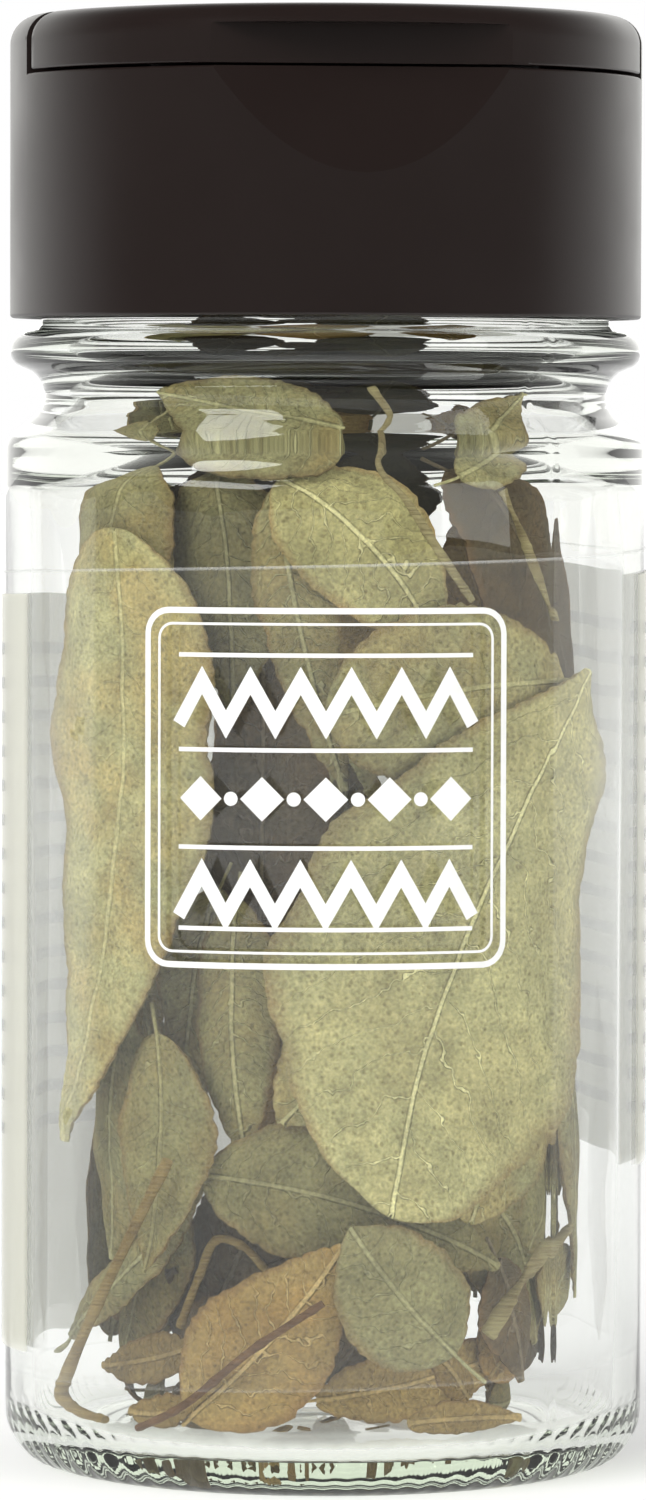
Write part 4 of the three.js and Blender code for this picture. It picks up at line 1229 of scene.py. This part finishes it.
def make_floor_leaf(leaf, seed, leaves, materials):
    """A leaf that lies on the floor of the jar."""
    floor = FLOOR_TOP + FLOOR_RISE + LEAF_CLEARANCE + LEAF_SOLID / 2

    def place(x, y, share, extra):
        rise = leaf.layers[0] + (leaf.layers[1] - leaf.layers[0]) * share
        return Vector((x, y, floor + rise + extra))

    def up(_):
        return Vector((0, 0, 1))

    make_blade(leaf, (leaf.base, leaf.tip), place, up, seed, leaves, materials)


def back_leaves():
    """Rows of upright leaves against the back, neighbours on different layers."""
    numbers = number_stream(71)
    made = []
    for row, height in enumerate(BACK_HEIGHTS):
        for column, place in enumerate((-1, 0, 1)):
            angle = 180 + place * BACK_SPREAD[row]
            layer = (row % 2) * 2 + column % 2 + 0.1
            lean = (next(numbers) - 0.5) * 26
            half = BACK_LENGTH * (0.92 + 0.16 * next(numbers)) / 2
            drop = -half if next(numbers) < 0.5 else half
            width = BACK_WIDTH * (0.85 + 0.25 * next(numbers))
            bend = (next(numbers) - 0.5) * 2.4
            tone = BACK_TONES[int(next(numbers) * len(BACK_TONES))]
            # A shade below one is painted shade: back leaves, the lowest row most, are darkened where
            # little light reaches deep in the jar.
            made.append(Leaf(
                f"leaf_back_{row * 3 + column + 1}", (angle - lean / 2, height - drop),
                (angle + lean / 2, height + drop), width, (layer, layer), tone, bend,
                petiole=0.6, shade=0.7 if row == 0 else 0.85))
    return made


def core_leaves():
    """Leaves standing in the middle, each on a layer of its own."""
    numbers = number_stream(29)
    made = []
    for i in range(CORE_COUNT):
        angle = i * 150 - 20
        half = CORE_LENGTH * (0.9 + 0.2 * next(numbers)) / 2
        height = CORE_MIDDLE + (-12 if i % 2 else 12) * next(numbers)
        layer = CORE_LAYER + CORE_STEP * i
        tip = angle + 40 * (next(numbers) - 0.5)
        # The dark tone here is painted shade for the dim middle of the jar.
        tone = "olive" if i % 3 == 2 else "dark"
        made.append(Leaf(
            f"leaf_core_{i + 1}", (angle, height - half), (tip, height + half), CORE_WIDTH,
            (layer, layer), tone, 0, 0.2, 0.6, shade=1.25))
    return made


def curve_through(points):
    """A function from 0..1 to a smooth centripetal curve through the points."""
    ends = [points[0] * 2 - points[1], *points, points[-1] * 2 - points[-2]]

    def at(share):
        place = clamp(share) * (len(points) - 1)
        index = min(int(place), len(points) - 2)
        t = place - index
        a, b, c, d = ends[index:index + 4]
        before, here, after = [math.sqrt((q - p).length) for p, q in ((a, b), (b, c), (c, d))]
        leave = ((b - a) / before - (c - a) / (before + here)) * here + (c - b)
        arrive = (c - b) - ((d - b) / (here + after) - (d - c) / after) * here
        return (b + leave * t + (3 * (c - b) - 2 * leave - arrive) * t ** 2
                + (2 * (b - c) + leave + arrive) * t ** 3)

    return at


def make_stalk(stalk, material):
    """A bare stalk: an uneven tube with swollen scars where leaflets broke off."""
    at = curve_through([on_wall(math.radians(angle), height, layer, stalk.radius)
                        for angle, height, layer in stalk.points])

    def thickness(share):
        knot = max(0.0, 1 - abs((share * 4.3 + 0.4) % 1 - 0.5) / 0.12)
        uneven = 0.16 * noise.noise(Vector((share * 9, stalk.radius * 7, 2)))
        return stalk.radius * (0.84 + uneven + 0.22 * knot)

    bm = bmesh.new()
    along = bm.verts.layers.float.new("along")
    across = bm.verts.layers.float.new("across")
    add_tube(bm, at, thickness, outwards, 64, 12, stalk.flat, stalk.twist)
    bmesh.ops.recalc_face_normals(bm, faces=bm.faces)
    start, end = at(0), at(1)
    way = (end - start).normalized()
    for vert in bm.verts:
        spot = vert.co / MM - start
        vert[along] = spot.dot(way)
        vert[across] = spot.z
    obj = as_object(bm, f"{stalk.name}_wood")
    finish_piece(obj, "jar", [material], [stalk.name], 60)


def scrap_leaves():
    """Torn ends of leaves that lie low in the jar, in the gaps between the whole ones, and a few dark ones
    high at the back that are painted shade.
    """
    chance = random.Random(17)
    made = []
    for i in range(SCRAP_COUNT):
        angle = chance.uniform(-85, 85) if i % 3 else chance.uniform(90, 270)
        height = 4.6 + 15 * chance.random() ** 1.6
        layer = chance.uniform(4.4, 8.4)
        reach = chance.uniform(-24, 24)
        rise = chance.uniform(-2.6, 5.5)
        # Dark comes up twice as often, and shades stay below one, partly as painted shade in the deep gaps.
        tone = chance.choice(("olive", "brown", "green", "dark", "dark"))
        made.append(Leaf(
            f"leaf_scrap_{i + 1}", (angle, height), (angle + reach, max(4.6, height + rise)),
            chance.uniform(2.2, 5.2), (layer, layer + chance.uniform(-0.6, 0.6)), tone,
            chance.uniform(-0.8, 0.8), chance.uniform(0, 0.5), 0, chance.uniform(0.35, 0.7),
            chance.uniform(0.4, 1.0), chance.uniform(0.6, 0.95)))
    # The listed pieces from 40 mm up take a shade of 0.3: painted shade in the neck under the cap.
    for i, (angle, height, layer, tone) in enumerate(SCRAPS):
        made.append(Leaf(
            f"leaf_scrap_{SCRAP_COUNT + i + 1}", (angle, height),
            (angle + chance.uniform(8, 16), height + chance.uniform(3, 7)),
            chance.uniform(4.5, 6.5), (layer, layer), tone, chance.uniform(-0.6, 0.6), 0.3, 0,
            0.5, 0.7, 1.15 if height < 40 else 0.3))
    return made


def make_crumbs(material):
    """Chips of broken leaf scattered over the floor."""
    chance = random.Random(5)
    bm = bmesh.new()
    layer = leaf_layers(bm)
    for i in range(CRUMB_COUNT):
        radius = chance.uniform(3, 11)
        angle = math.radians(chance.uniform(-80, 80) if i % 3 else chance.uniform(0, 360))
        size = chance.uniform(0.25, 1.1)
        floor = FLOOR_TOP + FLOOR_RISE * (1 - radius / (JAR_BORE - INNER_CORNER)) + 0.12
        place = (Matrix.Translation(around_axis(angle, radius, floor + chance.uniform(0, 0.25)) * MM)
                 @ Matrix.Rotation(chance.uniform(0, 6.3), 4, "Z")
                 @ Matrix.Rotation(chance.uniform(-0.5, 0.5), 4, "X"))
        chip = bmesh.ops.create_circle(
            bm, cap_ends=True, segments=9, radius=size * MM, matrix=place)["verts"]
        middle = place.translation
        for vert in chip:
            vert.co = middle + (vert.co - middle) * chance.uniform(0.45, 1.1)
            vert[layer["across"]] = (vert.co.x - middle.x) / MM + 1.5
            vert[layer["along"]] = (vert.co.y - middle.y) / MM
        set_values(chip, layer, {
            "half": 9, "vein_gap": 1.6, "shade": 0.55 + 0.5 * (i % 5) / 4, "seed": i,
            "veins": 0.3, "warmth": 1})
    bmesh.ops.solidify(bm, geom=list(bm.faces), thickness=0.14 * MM)
    bmesh.ops.recalc_face_normals(bm, faces=bm.faces)
    obj = as_object(bm, "leaf_crumbs")
    finish_piece(obj, "jar", [material], crease=40)


# ------------------------------------------------------------------ stage


def studio_world():
    """
    A white wall behind the jar. It lights the leaves softly, and gloss mirrors only the wall,
    so the cap's sides catch a pale band and its front stays dark.
    """
    world = bpy.data.worlds.new("white_studio")
    world.use_nodes = True
    world.node_tree.nodes.clear()
    add = partial(add_node, world.node_tree)
    path = add("LightPath")
    parts = add("SeparateXYZ", [add("TexCoord").outputs["Generated"]])
    behind = add("MapRange", [parts.outputs["Y"], 0.05, 0.95], interpolation_type="SMOOTHSTEP")
    level = add("MapRange", [parts.outputs["Z"], 0.75, 0.3], interpolation_type="SMOOTHSTEP")
    wall = add("Math", [behind, level], operation="MULTIPLY")
    ahead = add("MapRange", [parts.outputs["Z"], 0.45, 0.1, 0.02, 0.17],
                interpolation_type="SMOOTHSTEP")
    mirrored = add("MapRange", {0: wall, 3: ahead, 4: 1.8})
    through = add("MapRange", [parts.outputs["Y"], -0.2, 0.35, 0.55, 1.1])
    refracted = add("Mix", {0: path.outputs["Is Transmission Ray"], 2: mirrored, 3: through})
    white, soft, gloss = [
        add("Background", [tint, strength]) for tint, strength in (
            ((1, 1, 1, 1), 1.0), ((1, 1, 1, 1), 0.36), ((1, 1, 0.97, 1), refracted))]
    lit = add("MixShader", [path.outputs["Is Diffuse Ray"], white, soft])
    seen = add("MixShader", [path.outputs["Is Glossy Ray"], lit, gloss])
    add("OutputWorld", {"Surface": seen})
    bpy.context.scene.world = world


def pale_floor():
    """White acrylic, frosted and lit softly from below, so that the thick foot glows."""
    material, add = new_material("frosted_white_acrylic")
    place = add("TexCoord").outputs["Object"]
    grain = add("TexNoise", {"Vector": place, "Scale": pattern_scale(16.7), "Detail": 4.0})
    tone = add("Mix", {0: grain, 6: (0.86, 0.86, 0.855, 1), 7: (0.9, 0.9, 0.895, 1)},
               data_type="RGBA")
    reach = add("VectorMath", [place], operation="LENGTH").outputs["Value"]
    path = add("LightPath")
    glow = add("MapRange", [reach, 0.15, 0.9, 0.32, 0.72])
    glow = add("Mix", {0: path.outputs["Is Diffuse Ray"], 2: glow, 3: 0.32})
    board = add("BsdfPrincipled", {
        "Base Color": tone, "Roughness": 0.9, "Specular IOR Level": 0.1,
        "Emission Color": (1, 1, 0.99, 1), "Emission Strength": glow})
    # Gloss mirrors only the board near the jar, so the cap's front stays dark.
    far = add("MapRange", [reach, 0.05, 0.14])
    front = add("MapRange", [add("SeparateXYZ", [place]).outputs["Y"], 0.04, -0.04])
    far = add("Math", [far, front], operation="MULTIPLY")
    mirrored = add("Math", [path.outputs["Is Glossy Ray"], path.outputs["Is Transmission Ray"]],
                   operation="SUBTRACT", use_clamp=True)
    hidden = add("Math", [far, mirrored], operation="MULTIPLY")
    shade = add("BsdfDiffuse", [(0.05, 0.05, 0.05, 1)])
    both = add("MixShader", [hidden, board, shade])
    add("OutputMaterial", {"Surface": both})
    bm = bmesh.new()
    bmesh.ops.create_grid(bm, x_segments=4, y_segments=4, size=6)
    floor = as_object(bm, "stage_floor")
    floor.data.materials.append(material)


def softbox(name, place, target, size, power):
    """A rectangular area light that faces a point."""
    light = bpy.data.lights.new(name, "AREA")
    light.shape = "RECTANGLE"
    light.size, light.size_y = size
    light.energy = power
    obj = bpy.data.objects.new(name, light)
    obj.location = place
    obj.rotation_euler = (Vector(target) - Vector(place)).to_track_quat("-Z", "Y").to_euler()
    obj.visible_camera = False
    obj.visible_glossy = False
    bpy.context.scene.collection.objects.link(obj)


def make_camera(stage):
    """As high as the shoulder of the jar, and tipped slightly down to its middle."""
    eye, middle, frame_height = 0.0739, 0.05004, 0.10545
    view = bpy.data.cameras.new("camera")
    view.sensor_width = 36
    view.lens = 36 * math.hypot(stage.distance, eye - middle) / frame_height
    view.clip_start = 0.01
    camera = bpy.data.objects.new("camera", view)
    camera.location = (-0.00016, -stage.distance, eye)
    tip = math.atan2(eye - middle, stage.distance)
    camera.rotation_euler = (math.pi / 2 - tip, math.radians(-0.15), 0)
    bpy.context.scene.collection.objects.link(camera)
    bpy.context.scene.camera = camera


# ------------------------------------------------------------------ operators and panel


class SPICEJAR_OT_glass(bpy.types.Operator):
    """Makes the glass jar"""

    bl_idname = "spicejar.glass"
    bl_label = "Glass jar"

    def execute(self, context):
        make_glass(context.scene.spice_jar_glass)
        return {"FINISHED"}


class SPICEJAR_OT_label(bpy.types.Operator):
    """Makes the wrap label and the white design on its clear front"""

    bl_idname = "spicejar.label"
    bl_label = "Wrap label"

    def execute(self, context):
        make_film(context.scene.spice_jar_label)
        make_print(context.scene.spice_jar_label)
        return {"FINISHED"}


class SPICEJAR_OT_cap(bpy.types.Operator):
    """Makes the cap's base and its two flaps"""

    bl_idname = "spicejar.cap"
    bl_label = "Flap cap"

    def execute(self, context):
        cap = context.scene.spice_jar_cap
        material = satin_polypropylene(cap)
        make_cap_base(cap, material)
        make_front_flap(cap, material)
        make_rear_flap(cap, material)
        return {"FINISHED"}


class SPICEJAR_OT_leaves(bpy.types.Operator):
    """Makes the loose dried leaves and their crumbs"""

    bl_idname = "spicejar.leaves"
    bl_label = "Dried leaves"

    def execute(self, context):
        leaves = context.scene.spice_jar_leaves
        materials = {tone: dried_leaf(tone, tuple(getattr(leaves, tone)), tuple(leaves.rim))
                     for tone in ("pale", "olive", "green", "brown", "dark")}
        standing = WALL_LEAVES + back_leaves() + core_leaves() + scrap_leaves()
        for seed, leaf in enumerate(standing):
            make_wall_leaf(leaf, seed, leaves, materials)
        for seed, leaf in enumerate(FLOOR_LEAVES, len(standing)):
            make_floor_leaf(leaf, seed, leaves, materials)
        make_crumbs(materials["brown"])
        return {"FINISHED"}


class SPICEJAR_OT_stalks(bpy.types.Operator):
    """Makes the bare stalks and leaf stems"""

    bl_idname = "spicejar.stalks"
    bl_label = "Stalks"

    def execute(self, context):
        leaves = context.scene.spice_jar_leaves
        barks = {"woody": leaves.stalk, "purplish": leaves.purple, "leafy": leaves.stem}
        materials = {bark: dried_stalk(bark, tuple(base)) for bark, base in barks.items()}
        for stalk in STALKS:
            make_stalk(stalk, materials[stalk.bark])
        return {"FINISHED"}


class SPICEJAR_OT_stage(bpy.types.Operator):
    """Makes the floor, the studio light and the camera"""

    bl_idname = "spicejar.stage"
    bl_label = "Stage"

    def execute(self, context):
        stage = context.scene.spice_jar_stage
        context.scene.view_settings.view_transform = "Standard"
        studio_world()
        pale_floor()
        middle = (0, 0, 0.05)
        softbox("key_softbox", (-0.55, -0.6, 0.75), middle, (0.6, 0.5), stage.key_power)
        softbox("fill_softbox", (0.8, -0.5, 0.4), middle, (0.5, 0.7), stage.fill_power)
        make_camera(stage)
        return {"FINISHED"}


class SPICEJAR_PT_panel(bpy.types.Panel):
    """Sizes, colours and the pieces of the spice jar"""

    bl_idname = "SPICEJAR_PT_panel"
    bl_label = "Spice Jar"
    bl_space_type = "VIEW_3D"
    bl_region_type = "UI"
    bl_category = "Spice Jar"

    def draw(self, context):
        for name, _, operator in PARTS:
            box = self.layout.box()
            settings = getattr(context.scene, name)
            for prop in settings.bl_rna.properties:
                if prop.identifier not in ("name", "rna_type"):
                    box.prop(settings, prop.identifier)
            box.operator(operator)
        self.layout.operator("spicejar.stalks")


PARTS = [
    ("spice_jar_glass", JarSettings, "spicejar.glass"),
    ("spice_jar_label", LabelSettings, "spicejar.label"),
    ("spice_jar_cap", CapSettings, "spicejar.cap"),
    ("spice_jar_leaves", LeafSettings, "spicejar.leaves"),
    ("spice_jar_stage", StageSettings, "spicejar.stage"),
]
CLASSES = [
    *[settings for _, settings, _ in PARTS],
    SPICEJAR_OT_glass, SPICEJAR_OT_label, SPICEJAR_OT_cap, SPICEJAR_OT_leaves,
    SPICEJAR_OT_stalks, SPICEJAR_OT_stage, SPICEJAR_PT_panel,
]


def register():
    """Registers the classes and hangs each group of settings on the scene."""
    for cls in CLASSES:
        bpy.utils.register_class(cls)
    for name, settings, _ in PARTS:
        setattr(bpy.types.Scene, name, PointerProperty(type=settings))


def unregister():
    """Undoes register."""
    for name, _, _ in PARTS:
        delattr(bpy.types.Scene, name)
    for cls in reversed(CLASSES):
        bpy.utils.unregister_class(cls)


def main():
    """Makes every piece and the stage."""
    register()
    bpy.ops.spicejar.glass()
    bpy.ops.spicejar.label()
    bpy.ops.spicejar.cap()
    bpy.ops.spicejar.leaves()
    bpy.ops.spicejar.stalks()
    bpy.ops.spicejar.stage()
    bpy.context.view_layer.update()


if __name__ == "__main__":
    main()
